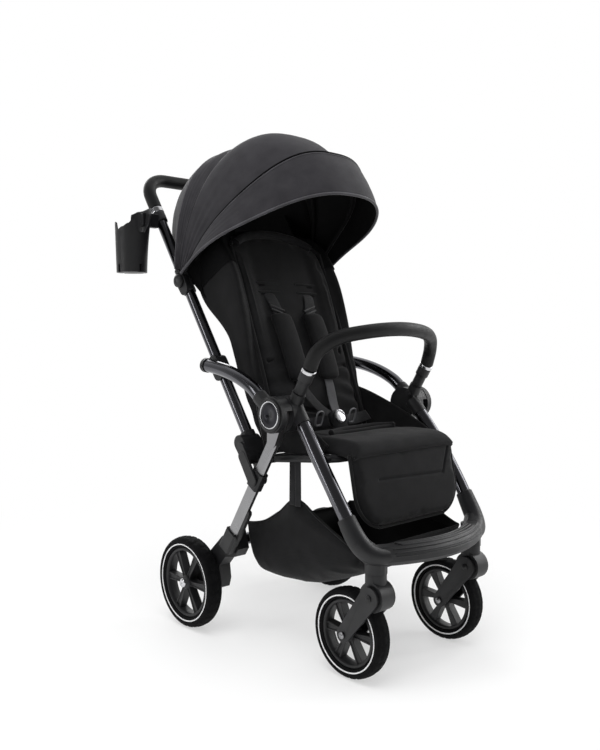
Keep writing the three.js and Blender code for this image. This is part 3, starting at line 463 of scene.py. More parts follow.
def skin(rings, ring_loop=False):
    count = len(rings[0])
    points = [p for ring in rings for p in ring]
    faces = []
    for i in range(len(rings) if ring_loop else len(rings) - 1):
        a, b = i * count, (i + 1) % len(rings) * count
        for k in range(count):
            n = (k + 1) % count
            faces.append((a + k, a + n, b + n, b + k))
    if not ring_loop:
        faces.append(tuple(reversed(range(count))))
        faces.append(tuple((len(rings) - 1) * count + k for k in range(count)))
    return points, faces


print("pieces ride on", len(set(body_of_node.values())), "bodies")

# %% [markdown]
# A mould or a saw's burr removal leaves no knife-sharp edge, so a bevel softens the hard ones. `moulded`
# shows a CAD solid as it leaves the mould: its flat facets rejoined, its rounds smooth and its edges
# softened.

# %% Softened edges and mouldings
def softened(obj, edge_mm, angle=35, segments=3):
    bevel = obj.modifiers.new("edge", "BEVEL")
    bevel.width = edge_mm / 1000
    bevel.segments = segments
    bevel.limit_method = "ANGLE"
    bevel.angle_limit = math.radians(angle)
    bevel.harden_normals = True
    return obj


def frozen(obj):
    """Puts the modifiers' result into the mesh."""
    bpy.context.view_layer.update()
    seen = obj.evaluated_get(bpy.context.evaluated_depsgraph_get())
    mesh = bpy.data.meshes.new_from_object(seen)
    obj.modifiers.clear()
    obj.data = mesh
    return obj


def moulded(node, finish, edge_mm=1.0, angle=36):
    mesh = faces_outward(frame["nodes"][node].data.copy(), joined_within=2e-5)
    obj = show(node + "_moulding", mesh, finish, body_of_node[node], (node,))
    mesh.set_sharp_from_angle(angle=math.radians(angle))
    return softened(obj, edge_mm, angle)


print("CAD solids to dress:", len(frame["nodes"]))

# %% [markdown]
# A bent tube follows a smooth curve through a few points. Catmull-Rom curves pass through every one of them,
# for numbers and for places alike, and `curve_through` then spaces its points evenly along the curve.

# %% Smooth curves
def clamp(value):
    return min(max(value, 0.0), 1.0)


def spline(p0, p1, p2, p3, t):
    return 0.5 * (2 * p1 + (p2 - p0) * t + (2 * p0 - 5 * p1 + 4 * p2 - p3) * t * t
                  + (3 * p1 - p0 - 3 * p2 + p3) * t ** 3)


def smooth(values, k, t):
    """From value k to the next one; the list's end values stand in for what lies past them."""
    return spline(values[max(k - 1, 0)], values[k], values[k + 1], values[min(k + 2, len(values) - 1)], t)


def length_of(line):
    return sum((b - a).length for a, b in zip(line, line[1:]))


def curve_through(points, steps, fineness=24):
    ends = [points[0] * 2 - points[1], *points, points[-1] * 2 - points[-2]]
    fine = [spline(*ends[i - 1:i + 3], k / fineness) for i in range(1, len(ends) - 2)
            for k in range(fineness)]
    fine.append(points[-1].copy())
    lengths = [0.0]
    for a, b in zip(fine, fine[1:]):
        lengths.append(lengths[-1] + (b - a).length)
    path, k = [], 0
    for i in range(steps + 1):
        want = lengths[-1] * i / steps
        while k < len(fine) - 2 and lengths[k + 1] < want:
            k += 1
        span = lengths[k + 1] - lengths[k] or 1
        path.append(fine[k].lerp(fine[k + 1], clamp((want - lengths[k]) / span)))
    return path


def circle(radius, sides):
    turns = [2 * math.pi * k / sides for k in range(sides)]
    return [(radius * math.cos(turn), radius * math.sin(turn)) for turn in turns]


print("a quarter past 1 in an even list:", smooth([0, 1, 2, 3], 1, 0.25))

# %% [markdown]
# Three shapes make most hard parts: a round bar with its ends rounded over, a piece turned about an axis
# across the stroller, whose profile lists (radius, x) in millimetres, and a flat plate with an outline in Y
# and Z.

# %% Bars, turnings and plates
def section_rings(path, section):
    """One ring per place on the path; section(share) lists (side, up) offsets in metres."""
    rings = []
    side = None
    for i, p in enumerate(path):
        ahead = (path[min(i + 1, len(path) - 1)] - path[max(i - 1, 0)]).normalized()
        if side is None:
            side = ahead.orthogonal().normalized()
        side = (side - ahead * side.dot(ahead)).normalized()
        up = ahead.cross(side)
        rings.append([p + side * a + up * b for a, b in section(i / (len(path) - 1))])
    return rings


def tube(name, points, radius_mm, finish, body, nodes=(), steps=40, sides=28, end_round=1.5, profile=None):
    r, e = radius_mm / 1000, end_round / 1000
    path = [points[0].lerp(points[-1], i / steps) for i in range(steps + 1)]
    if len(points) > 2:
        path = curve_through(points, steps)
    swell = profile or (lambda share: 1.0)
    rings = section_rings(path, lambda share: circle(r * swell(share), sides))
    for end, inner in ((0, 1), (-1, -2)):
        middle = path[end]
        out = (middle - path[inner]).normalized()
        rims = []
        for k in range(4):
            turn = k / 3 * math.pi / 2
            scale = 1 - (e / r) * (1 - math.cos(turn))
            rims.append([middle + (p - middle) * scale - out * e * (1 - math.sin(turn)) for p in rings[end]])
        rings = rings[:-1] + rims if end else rims[::-1] + rings[1:]
    return make_piece(name, skin(rings), finish, body, nodes)


def turned(name, profile, y, z, finish, body, nodes=(), segments=96):
    rings = [[at(x, y + r * c, z + r * s) for r, x in profile] for c, s in circle(1, segments)]
    return make_piece(name, skin(rings, ring_loop=True), finish, body, nodes)


def plate(name, outline, x0, x1, finish, body, nodes=(), edge=1.5):
    rings = [[at(x, y, z) for y, z in outline] for x in (x0, x1)]
    return softened(make_piece(name, skin(rings), finish, body, nodes), edge)


def capsule(a, ra, b, rb, steps=14):
    """The outline round two circles and the flats between them, in Y and Z."""
    angle = math.atan2(b[1] - a[1], b[0] - a[0])
    lean = math.acos((ra - rb) / math.dist(a, b))
    far = [angle - lean + 2 * lean * k / steps for k in range(steps + 1)]
    near = [angle + lean + (2 * math.pi - 2 * lean) * k / steps for k in range(steps + 1)]
    return [(c[0] + r * math.cos(t), c[1] + r * math.sin(t)) for c, r, ts in ((b, rb, far), (a, ra, near))
            for t in ts]


print("a 14-step capsule has", len(capsule((0, 0), 2, (9, 0), 1)), "points")

# %% [markdown]
# ## Wheels
# The tyres are moulded in one: a rounded tread with fine zigzag grooves, and side walls that carry a thin
# reflective ring. The profile is swept round the axle in 240 steps, and the tread's points are pushed in by
# 1.3 mm wherever a groove runs.

# %% Tyres
TREAD_STEPS, GROOVE_MM = 240, 1.3
TYRE_HALF = 18.5


def grooved(i, s):
    """Whether a groove runs at step i of the tread, s millimetres from its middle."""
    zigzag = (i + (4 if abs(s) > 0.45 * TYRE_HALF else 0) + int(abs(s) / 3)) % 8 < 2
    return zigzag or 0.38 * TYRE_HALF < abs(s) < 0.52 * TYRE_HALF


def make_tyre(name, x, y, radius, seat, body, node):
    half, wall = TYRE_HALF, radius - seat
    profile = [(seat, 0.66 * half), (seat + 0.2 * wall, 0.86 * half), (seat + 0.45 * wall, 0.99 * half)]
    for k in range(17):
        t = math.pi / 2 * (1 - k / 8)
        profile.append((radius - 0.5 * wall + 0.5 * wall * math.cos(t) ** 0.7, half * math.sin(t)))
    profile += [(r, -s) for r, s in reversed(profile[:3])]
    rings = []
    for i in range(TREAD_STEPS):
        a = 2 * math.pi * i / TREAD_STEPS
        ring = []
        for r, s in profile:
            tread = abs(s) < 0.9 * half and r > seat + 0.5 * wall
            r -= GROOVE_MM if tread and grooved(i, s) else 0
            ring.append(at(x + s, y + r * math.cos(a), radius + r * math.sin(a)))
        rings.append(ring)
    tyre = make_piece(name, skin(rings, ring_loop=True), rubber, body, (node,))
    tyre.data.set_sharp_from_angle(angle=math.radians(40))
    r = seat + 0.3 * wall
    for side, out in (("outer", 1), ("inner", -1)):
        strip = [(-1.3, 0), (1.3, 0.25), (1.3, 0.9), (-1.3, 0.7)]
        turned(f"{name}_ring_{side}", [(r + rise, x + out * (0.9 * half + lift)) for rise, lift in strip], y,
               radius, reflective, body, segments=120)


print("tread grooves", GROOVE_MM, "mm deep")

# %% [markdown]
# The wheel inside the tyre is nylon: a hollowed rim and hub, and six spokes, each wider at the rim and with a
# shallow trough along its outer face.

# %% Rims, spokes and hubs
RIM = [(-0.3, 9), (-0.3, -9), (-1.5, -12.5), (-5, -13.4), (-7.5, -12), (-8.2, -4), (-8.2, 4), (-7.5, 12),
       (-5, 13.4), (-1.5, 12.5)]
HUB = [(0.01, 11), (7, 11), (8, 12.8), (13.5, 12.8), (15, 11.4), (15, -14), (13, -15.5), (0.01, -15.5)]
HUB_CAP = [(0.01, 4.4), (6, 4.2), (9, 3.2), (10.2, 1.2), (10.2, 0.3), (0.01, 0.3)]
SPOKES, SPOKE_FOOT, SPOKE_BACK = 6, 11, -9


def spoke_ring(share, out, turn, x, y, axle, reach):
    r = SPOKE_FOOT + reach * share
    w = 6.2 - 1.2 * math.sin(math.pi * min(share * 1.6, 1)) + 2.6 * share ** 2
    face = 10.5 - 1.5 * share
    trough = face - 2.2
    section = [(-1, SPOKE_BACK), (1, SPOKE_BACK), (1, face), (0.62, face), (0.5, trough), (-0.5, trough),
               (-0.62, face), (-1, face)]
    c, s = math.cos(turn), math.sin(turn)
    return [at(x + out * d, y + r * c - w * q * s, axle + r * s + w * q * c) for q, d in section]


def make_wheel(name, x, y, radius, seat, body, node):
    turned(name, [(seat + rise, x + s) for rise, s in RIM], y, radius, nylon, body, (node,))
    out = math.copysign(1, x)
    for k in range(SPOKES):
        turn = 2 * math.pi * k / SPOKES
        rings = [spoke_ring(share, out, turn, x, y, radius, seat - 7.8 - SPOKE_FOOT)
                 for share in (0, 0.25, 0.6, 1)]
        softened(make_piece(f"{name}_spoke_{k + 1}", skin(rings), nylon, body), 0.8, 30, 2)
    turned(f"{name}_hub", [(r, x + out * s) for r, s in HUB], y, radius, nylon, body, segments=64)


REAR_X, FRONT_X, FRONT_Y = 216, 146, -197
WHEELS = {"rear": (REAR_X, 231, 100, 77), "front": (FRONT_X, FRONT_Y, 86, 66)}   # x, y, radius, tyre's seat
for side, out in SIDES:
    for end, (x, *sizes) in WHEELS.items():
        body = f"{end}_wheel_{side}"
        make_tyre(f"{end}_tyre_{side}_tread", out * x, *sizes, body, f"{end}_tyre_{side}")
        make_wheel(f"{end}_rim_{side}", out * x, *sizes, body, f"{end}_wheel_{side}")
    _, y, radius, _ = WHEELS["rear"]
    turned(f"rear_hub_cap_{side}", [(r, out * (REAR_X + 18.2 + s)) for r, s in HUB_CAP], y, radius, chrome,
           "rear_frame", (f"rear_axle_{side}",), segments=48)
print("four wheels with", SPOKES, "spokes each")

# %% [markdown]
# ## Hubs, arms and front legs
# Each side hub is a nylon drum. The arm rest springs from its top and bends back to the push bar; the front
# leg leaves its inner half and runs down to the foot bar. Both are bent round tube. The dark disc in the
# hub's outer face is bare, with a chromed ring round it.

# %% Hubs and their discs
DISC = [(0.01, 229), (20, 229), (24.2, 228.6), (24.8, 227.6), (29.8, 226.6), (29.8, 224.4), (0.01, 224.4)]
HUB_RINGS = (("ring", 25.9, 228.4, 1.5, 1.6, chrome), ("rim", 29.8, 227.6, 2.5, 1.9, nylon))
for side, out in SIDES:
    moulded(f"hub_{side}", nylon, 1.6)
    turned(f"hub_face_{side}", [(r, out * x) for r, x in DISC], PIN_Y, PIN_Z, turned_disc, "front_frame",
           (f"hub_disc_{side}",))
    for name, radius, x, wide, high, finish in HUB_RINGS:
        turned(f"hub_{name}_{side}", [(radius + wide * c, out * (x + high * s)) for c, s in circle(1, 12)],
               PIN_Y, PIN_Z, finish, "front_frame")
print("hubs with plain discs")

# %% Arms and front legs
ARM_X, FRAME_TUBE_R = 214, 14
ARM = [(-9, 525), (14, 541.5), (49, 557.5), (91, 570), (132, 577.5), (167, 581.5)]
ARM_END = [(157, 580.6), (167, 581.5), (173, 582.1)]
FRONT_LEG = [(177, -88, 484), (182, -135, 425), (182.5, -186, 355), (178, -240, 274)]
for side, out in SIDES:
    tube(f"arm_tube_{side}", [at(out * ARM_X, y, z) for y, z in ARM], FRAME_TUBE_R, gunmetal, "front_frame",
         (f"arm_{side}",), 60, 72)
    tube(f"arm_cap_{side}", [at(out * ARM_X, y, z) for y, z in ARM_END], 15.4, nylon, "front_frame", steps=6,
         end_round=7)
    tube(f"front_leg_tube_{side}", [at(out * x, y, z) for x, y, z in FRONT_LEG], FRAME_TUBE_R, gunmetal,
         "front_frame", (f"front_leg_{side}",), 60, 72)
print("arm tube length", round(length_of([at(0, *place) for place in ARM]), 3))

# %% [markdown]
# ## Foot bar, casters and rear frame
# The foot bar is one nylon moulding that bows forward between the legs. Three raised ribs run along its top
# for shoe grip and three finer ones along its front, where a ray cast finds the moulding's face. Soft elbows
# lead from the legs into it.

# %% Foot bar
foot_bar = moulded("foot_bar", nylon, 2.0, 32)
BAR_Y, BAR_BOW, BAR_HALF, BAR_TOP = -262, 42, 150, 263.4
for k, back in enumerate((-8, 0, 8)):
    rib = [at(x, BAR_Y + back - BAR_BOW * (1 - (x / BAR_HALF) ** 2), BAR_TOP) for x in range(-112, 113, 14)]
    tube(f"foot_rib_{k + 1}", rib, 2.6, nylon, "front_frame", sides=12)
bpy.context.view_layer.update()
to_bar = foot_bar.matrix_world.inverted()
for k, height in enumerate((259, 253, 247)):
    rib = []
    for x in range(-132, 133, 11):
        hit, spot, _, _ = foot_bar.ray_cast(to_bar @ at(x, -480, height), to_bar.to_3x3() @ Vector((0, 1, 0)))
        if hit:
            rib.append(foot_bar.matrix_world @ spot)
    tube(f"foot_front_rib_{k + 1}", rib, 1.5, nylon, "front_frame", steps=70, sides=12)
ELBOW = [(180.6, -215, 311), (179, -228, 290), (175.5, -242, 270), (167, -256, 254), (152, -268, 246),
         (124, -281, 244)]


def elbow_swell(share):
    return 0.9 + 0.12 * math.sin(math.pi * share) - 0.16 * share ** 3


for side, out in SIDES:
    tube(f"leg_elbow_{side}", [at(out * x, y, z) for x, y, z in ELBOW], 19, nylon, "front_frame", sides=36,
         profile=elbow_swell)
print("foot bar with six ribs")

# %% [markdown]
# Under the bar's ends stand the casters. Their spring boxes carry forks with flat cheeks, each with two
# bolts: the pivot of the suspension and the wheel's axle. The seats give the bolt heads' places across from
# the fork's middle.

# %% Casters, forks and their bolts
BOLT_HEAD = [(0.01, 3.2), (2.4, 3.2), (2.6, 2.2), (5.4, 2.2), (6.4, 1.4), (6.6, 0), (0.01, 0)]
FORK_BOLTS = (("pivot", -262, 171, nylon, {"in": -25.1, "out": 25.1}),
              ("wheel", FRONT_Y, 86, zinc, {"in": -27.2, "out": 28.2}))
for side, out in SIDES:
    moulded(f"caster_{side}", nylon, 1.6)
    moulded(f"fork_{side}", nylon, 1.4)
    for name, y, z, finish, seats in FORK_BOLTS:
        for end, seat in seats.items():
            head = [(r, out * FRONT_X + seat + math.copysign(x, seat)) for r, x in BOLT_HEAD]
            turned(f"fork_{name}_bolt_{side}_{end}", head, y, z, finish, f"fork_{side}", segments=32)
print("forks with four bolt heads each")

# %% [markdown]
# The flat oval rear legs end in nylon housings, joined by a cross tube. The brake pedal between them has five
# thin ribs for the shoe.

# %% Rear legs, housings and brake
for side, _ in SIDES:
    moulded(f"rear_leg_{side}", satin, 2.5, 30)
    moulded(f"leg_bracket_{side}", nylon, 1.2)
    moulded(f"rear_housing_{side}", nylon, 2.2, 30)
tube("rear_cross_tube", [at(-177, 128, 202), at(177, 128, 202)], 13, gunmetal, "rear_frame", ("rear_tube",),
     steps=8)
moulded("brake_pedal", nylon, 1.6)
for k in range(5):
    x = 14 * k - 31
    tube(f"pedal_rib_{k + 1}", [at(x, 158, 207.2), at(x, 176, 207.2)], 1.0, nylon, "brake", steps=4, sides=8,
         end_round=0.8)
print("rear frame dressed")

# %% [markdown]
# ## Push bars and handle
# The push bars run from a forked foot on the rear legs, through a sleeve at the arm's end, to the handle's
# hinges. There a leaf of the bar and a leaf of the handle turn on one pin, each with a socket round its tube.

# %% Push bars and hinges
BAR_X, BAR_TUBE_R, SOCKET_R = 183, 12, 14.9
HINGE_S = 496.5
HOOD_BOSS = [(0.01, 208.6), (10, 208), (14, 205.6), (15, 202), (15, 197), (0.01, 197)]


def bar_run(out, s0, s1):
    return [on_bar(out * BAR_X, s) for s in (s0, s1)]


def bar_leaf(s0, r0, s1, r1):
    return capsule(drawn(on_bar(0, s0)), r0, drawn(on_bar(0, s1)), r1)


for side, out in SIDES:
    tube(f"push_tube_{side}", bar_run(out, 62, 477.5), BAR_TUBE_R, gunmetal, "push_frame",
         (f"push_bar_{side}",), steps=12, sides=72)
    moulded(f"bar_foot_{side}", nylon, 2.0)
    moulded(f"sleeve_{side}", nylon, 1.2)
    edge = (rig.box(f"bar_foot_{side}")[1 if out > 0 else 0].x - pin.x) * 1000
    plate(f"bar_foot_cheek_{side}", bar_leaf(0, 13, 54, 12), edge - out * 3.4, edge + out * 1.2, nylon,
          "push_frame", edge=2.2)
    plate(f"bar_foot_body_{side}", bar_leaf(49, 13.5, 84, 16.5), out * 167, edge - out * 5, nylon,
          "push_frame", edge=2.2)
    plate(f"hinge_leaf_{side}", bar_leaf(HINGE_S, 16.4, 475, 14.8), out * 183.4, out * 198, nylon,
          "push_frame", (f"bar_hinge_{side}",), edge=1.6)
    tube(f"hinge_socket_{side}", bar_run(out, 464, 477), SOCKET_R, nylon, "push_frame", steps=4)
    turned(f"hood_boss_{side}", [(r, out * x) for r, x in HOOD_BOSS], *drawn(on_bar(0, HINGE_S)), nylon,
           "push_frame", segments=48)
    tube(f"handle_rail_{side}", bar_run(out, 517, 704), BAR_TUBE_R, gunmetal, "handle",
         (f"handle_tube_{side}",), steps=12, sides=72)
    plate(f"handle_leaf_{side}", bar_leaf(HINGE_S, 16.4, 530, 14.6), out * 168, out * 182.6, nylon, "handle",
          edge=1.6)
    tube(f"handle_socket_{side}", bar_run(out, 516, 529), SOCKET_R, nylon, "handle", steps=4)
print("push bar length", round(length_of(bar_run(1, 62, 477.5)), 4), "m each side")

# %% [markdown]
# The handle is one bent tube in a padded leather sleeve with a sewn seam along its inner side, chromed rings
# where the sleeve ends, and the fold button in the middle.

# %% Handle grip, rings, seam and button
GRIP_S, HANDLE_S, BEND = 704.3, 803, 58
half = [on_bar(BAR_X, GRIP_S)]
for k in range(9):
    turn = k / 8 * math.pi / 2
    half.append(on_bar(BAR_X - BEND * (1 - math.cos(turn)), HANDLE_S - BEND * (1 - math.sin(turn))))
half.append(on_bar(60, HANDLE_S))


def mirrored_path(points):
    return points + [Vector((2 * pin.x - p.x, p.y, p.z)) for p in reversed(points) if abs(p.x - pin.x) > 1e-6]


grip_path = mirrored_path(half)
inner = bar_way.cross(Vector((1, 0, 0)))
tube("handle_sleeve", grip_path, 15, leather, "handle", ("handle_grip",), steps=110, end_round=3)
tube("handle_seam", [p + inner * 0.0147 for p in grip_path], 1.1, leather, "handle", steps=110, sides=8)
for side, out in SIDES:
    tube(f"handle_ring_{side}", bar_run(out, 690, 704.5), 15.6, chrome, "handle", steps=4, end_round=2.0)
    tube(f"handle_collar_{side}", bar_run(out, 668, 690.3), 14.6, nylon, "handle", steps=4, end_round=2.5)
moulded("fold_button", nylon, 1.2)
print("grip path", len(grip_path), "points")

# %% [markdown]
# ## Cup holder
# The cup holder is a thin-walled nylon basket with a notch at its rim and slots in its foot, which a small
# box cuts. The rim's height is given round its turn in degrees. It clips to the right-hand handle tube.

# %% Cup holder
CUP_X, CUP_Y, CUP_FOOT, CUP_WALL = -270, 372, 786, 2.4
CUP_FRONT = math.radians(-132.7)
CUP_RIM = [(-90, 884), (-64, 898), (-55, 896), (-45, 880), (-22, 886), (0, 893), (14, 901), (22, 900),
           (30, 877), (38, 873), (58, 874), (76, 890), (90, 918), (122, 934), (166, 928), (193, 921),
           (197, 886), (232, 880), (270, 884)]
CUP_SLOTS = (-43, 46, 137, 227)
SLOT_BOX = (0.02, 0.006, 0.022)


def cup_rim(turn):
    for (a0, z0), (a1, z1) in zip(CUP_RIM, CUP_RIM[1:]):
        if turn <= a1:
            t = (turn - a0) / (a1 - a0)
            return z0 + (z1 - z0) * t * t * (3 - 2 * t)
    return CUP_RIM[-1][1]


def cup_point(turn, z, inset):
    share = (z - CUP_FOOT) / 140
    radius = 34 + 3.5 * share + 8 * share ** 2 * max(math.cos(math.radians(turn - 105)), 0) - inset
    way = CUP_FRONT + math.radians(turn)
    return at(CUP_X + radius * math.cos(way), CUP_Y + radius * math.sin(way), z)


def cup_ring(foot, row, inset):
    return [cup_point(turn, foot + (cup_rim(turn) - foot) * row / 24, inset) for turn in range(-90, 270, 2)]


rings = [cup_ring(CUP_FOOT, row, 0) for row in range(25)]
rings += [cup_ring(CUP_FOOT + CUP_WALL, row, CUP_WALL) for row in range(24, -1, -1)]
cup = make_piece("cup_basket", skin(rings), nylon, None, ("cup_holder",))
bpy.ops.mesh.primitive_cube_add(size=1)
cutter = bpy.context.object
for turn in CUP_SLOTS:
    facing = Matrix.Rotation(CUP_FRONT + math.radians(turn), 4, "Z") @ Matrix.Diagonal((*SLOT_BOX, 1))
    cutter.matrix_world = Matrix.Translation(cup_point(turn, CUP_FOOT + 7, CUP_WALL / 2)) @ facing
    slot = cup.modifiers.new("slot", "BOOLEAN")
    slot.operation, slot.object, slot.solver = "DIFFERENCE", cutter, "EXACT"
    frozen(cup)
bpy.data.objects.remove(cutter)
softened(cup, 0.6, 40)
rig.ride(cup, body_of_node["cup_holder"])
y, z = drawn(on_bar(-BAR_X, 678.3))
tube("cup_clip", bar_run(-1, 665.5, 690), 15.4, nylon, "handle", steps=4, end_round=2)
plate("cup_bracket", [(y - 13, z - 24), (y + 3, z - 24), (y + 3, z + 8), (y - 13, z + 8)], -194, -237, nylon,
      "handle", edge=2.2)
print("cup holder", [round((b - a) * 1000) for a, b in zip(*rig.box("cup_holder"))], "mm")

# %% [markdown]
# ## Bumper bar
# Two nylon posts plug into the hubs. Between them runs a bowed bar in padded leather, with chromed rings at
# its ends and a seam along the underside.

# %% Bumper bar
BUMPER_X = 178
POST = [(-86, 534), (-112, 577)]
BUMPER = [(BUMPER_X, -114, 580), (171, -129, 614), (140, -152, 640), (80, -178, 653), (0, -190, 658)]
bumper_path = mirrored_path([at(*place) for place in BUMPER])
underside = Vector((0, 0.004, -0.0133))
tube("bumper_sleeve", bumper_path, 14, leather, "bumper_bar", ("bumper",), steps=120, end_round=2.5)
tube("bumper_seam", [p + underside for p in curve_through(bumper_path, 60)], 1.0, leather, "bumper_bar",
     steps=110, sides=8)
for side, out in SIDES:
    low, high = [at(out * BUMPER_X, *place) for place in POST]
    way = (high - low).normalized()
    tube(f"bumper_post_{side}", [low + way * 0.0004, high - way * 0.001], 12, nylon, "bumper_bar", steps=6)
    tube(f"bumper_cuff_{side}", [high - way * 0.024, high - way * 0.001], 14.2, nylon, "bumper_bar", steps=4,
         end_round=2)
    tube(f"bumper_ring_{side}", [high - way * 0.0035, high + way * 0.0045], 14.9, chrome, "bumper_bar",
         steps=4, end_round=1.4)
    moulded(f"bumper_button_{side}", nylon, 0.6)
print("bumper bar", round(length_of(bumper_path), 3), "m along")

# %% [markdown]
# ## Hood
# The hood is cloth sewn over four hoops that fan out from one pivot at each bar hinge. Each hoop is a rounded
# arch, given by its lean in degrees, its reach and half width in millimetres and a power that squares its
# shoulders. Two more arches lie behind and between them: the foot of the drape and the tuck behind the zip.

# %% Hoops
HOOPS = {"drape": (-46, 205, 162, 3.4), "rear": (4, 303, 212, 2.9), "middle": (15, 320, 202, 2.65),
         "tuck": (49, 360, 194, 2.65), "top": (47.5, 391, 197, 2.65), "rim": (63.7, 386, 211, 2.45)}
FOOT_MM = 26


def between(a, b, share):
    return tuple(p + (q - p) * share for p, q in zip(HOOPS[a], HOOPS[b]))


def on_hoop(hoop, u, foot=FOOT_MM, inset=0.0):
    """A place on an arch, u from 0 at its left foot to 1 at its right one."""
    angle, radius, half, power = hoop
    start = math.asin((foot / radius) ** (power / 2)) / math.pi
    t = math.pi * (start + u * (1 - 2 * start))
    c, s = math.cos(t), math.sin(t)
    across = (half - inset) * math.copysign(abs(c) ** (2 / power), c)
    out = (radius - inset) * abs(s) ** (2 / power)
    lean = math.radians(angle - 9 * max(angle, 0) / 64 * math.exp(-(min(u, 1 - u) / 0.13) ** 2))
    return Vector((pin.x + across / 1000, hood_pivot.y - out * math.sin(lean) / 1000,
                   hood_pivot.z + out * math.cos(lean) / 1000))


print("hood reach", HOOPS["top"][1], "mm at the top seam")

# %% [markdown]
# Cloth is a sheet with two faces, a millimetre or two apart. `sheet_of` lays one over any surface
# point(u, v), and `hood_panel` gives the surface between two hoops: it bulges a little, sways as cloth does,
# and puckers near its feet.

# %% Sheets and hood panels
def sheet_of(point, across, along, thick_mm):
    rings = []
    for j in range(along + 1):
        v = j / along
        outer, inner = [], []
        for i in range(across + 1):
            u = i / across
            du = point(min(u + 0.004, 1), v) - point(max(u - 0.004, 0), v)
            dv = point(u, min(v + 0.01, 1)) - point(u, max(v - 0.01, 0))
            outer.append(point(u, v))
            inner.append(outer[-1] + du.cross(dv).normalized() * thick_mm / 1000)
        rings.append(outer + inner[::-1])
    return skin(rings)


def hood_panel(a, b, bulge, folds, foot=(FOOT_MM, FOOT_MM), inset=0.0):
    rise, skew, crown = bulge

    def point(u, v):
        angle, radius, half, power = between(a, b, v)
        edge = min(u, 1 - u)
        pucker = folds * math.sin(v * 31 + 2 * math.sin(7 * edge)) * math.exp(-edge * 9)
        pucker *= math.sin(math.pi * v)
        sway = 1.1 * noise.noise(Vector((u * 9, v * 3, len(a)))) * math.sin(math.pi * v) ** 0.5
        radius += rise * math.sin(math.pi * v ** skew) * math.sin(math.pi * u) ** crown + pucker + sway
        return on_hoop((angle, radius, half + 0.5 * pucker, power), u, foot[0] + (foot[1] - foot[0]) * v,
                       inset)
    return point


def fans(obj, bodies, low, high):
    """Blends a hood panel between two bodies by its angle about the pivot."""
    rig.blend(obj, *bodies, start=on_hoop(HOOPS[low], 0.5), end=on_hoop(HOOPS[high], 0.5))
    first, last = HOOPS[low][0], HOOPS[high][0]
    turns = [math.degrees(math.atan2(hood_pivot.y - v.co.y, v.co.z - hood_pivot.z))
             for v in obj.data.vertices]
    weights = [clamp((turn - first) / (last - first)) for turn in turns]
    obj.data.attributes["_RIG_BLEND"].data.foreach_set("value", weights)


print("canopy_open turns on", joints["canopy_open"]["parent"])

# %% [markdown]
# Every panel is one sheet with a black lining inside it. The drape and the front panel ride on one body each;
# the two between them stretch from one body to the next as the hood folds.

# %% Hood panels, linings and bows
# name, first hoop, last hoop, bulge (rise, skew, crown), folds, feet in mm, body or bodies, node
HOOD = (("drape", "drape", "rear", (4, 1, 0), 2.0, (20, FOOT_MM), ("push_frame",), "canopy_rear"),
        ("rear", "rear", "middle", (2, 1, 0), 2.4, (FOOT_MM, FOOT_MM), ("push_frame", "canopy_middle"),
         "canopy_rear"),
        ("middle", "middle", "tuck", (29, 0.62, 2), 2.4, (FOOT_MM, FOOT_MM), ("canopy_middle", "canopy_hood"),
         "canopy_mid"),
        ("front", "top", "rim", (1.5, 1, 0), 1.0, (FOOT_MM, FOOT_MM), ("canopy_hood",), "canopy_front"))
LINING_INSET = 3.2
for name, a, b, bulge, folds, foot, bodies, node in HOOD:
    body = bodies[0] if len(bodies) == 1 else None
    outside = sheet_of(hood_panel(a, b, bulge, folds, foot), 110, 20, 1.2)
    inside = sheet_of(hood_panel(a, b, bulge, folds, foot, LINING_INSET), 70, 10, 0.8)
    for obj in (make_piece(f"hood_{name}", outside, hood_cloth, body, (node,)),
                make_piece(f"hood_{name}_lining", inside, lining_and_shade_cloth, body)):
        if body is None:
            fans(obj, bodies, a, b)
for name, hoop, body, node in (("bow_under_middle_seam", "middle", "canopy_middle", "bow_mid"),
                               ("bow_under_top_seam", "tuck", "canopy_hood", "bow_front")):
    path = [on_hoop(HOOPS[hoop], 0.02 + 0.96 * k / 60, inset=9) for k in range(61)]
    tube(name, path, 3.6, lining_and_shade_cloth, body, (node,), steps=110, sides=12, end_round=3)
print("hood panels", len(HOOD), "each with a lining")

# %% [markdown]
# Cords of piping cover the seams, a zip runs in the tuck under the front panel, and two stitched ribs cross
# the rear one. The front edge is a rolled binding.

# %% Hood seams, zip, binding and stitched ribs
def hood_cord(name, hoop, radius_mm, finish, body, lift):
    angle, radius, half, power = hoop
    path = [on_hoop((angle, radius + lift, half + lift, power), k / 60) for k in range(61)]
    tube(name, path, radius_mm, finish, body, steps=110, sides=12, end_round=1.0)


PIPING_TURN = 0.75
hood_cord("hood_rear_piping", HOOPS["rear"], 1.6, piping, "push_frame", 0.4)
hood_cord("hood_middle_piping", HOOPS["middle"], 1.9, hood_cloth, "canopy_middle", 0.8)
hood_cord("hood_top_zip", HOOPS["top"], 2.4, lining_and_shade_cloth, "canopy_hood", 0.6)
hood_cord("hood_top_piping", (HOOPS["top"][0] + PIPING_TURN, *HOOPS["top"][1:]), 1.5, piping, "canopy_hood",
          1.2)
# the channel is near-black cloth, which also paints the shade in the tuck under the front panel's edge
channel = sheet_of(hood_panel("tuck", "top", (0, 1, 0), 0), 110, 4, 1.2)
make_piece("hood_zip_channel", channel, lining_and_shade_cloth, "canopy_hood")
hood_cord("hood_binding", HOOPS["rim"], 3.0, piping, "canopy_hood", -0.5)
for k, share in enumerate((0.36, 0.62)):
    angle, radius, half, power = between("rear", "middle", share)
    lifted = (angle, radius + 2 * math.sin(math.pi * share), half, power)
    hood_cord(f"hood_rib_seam_{k + 1}", lifted, 0.9, hood_cloth, "push_frame", 0.4)
print("piping, zip and binding sewn on")

# %% [markdown]
# ## Backrest
# The backrest is a hollowed shell of cloth with wings, which run back to the push bars. Its section changes
# with the height s: each half is a few marks, (x, offset to the rear), joined by a smooth curve that is
# mirrored at the middle.

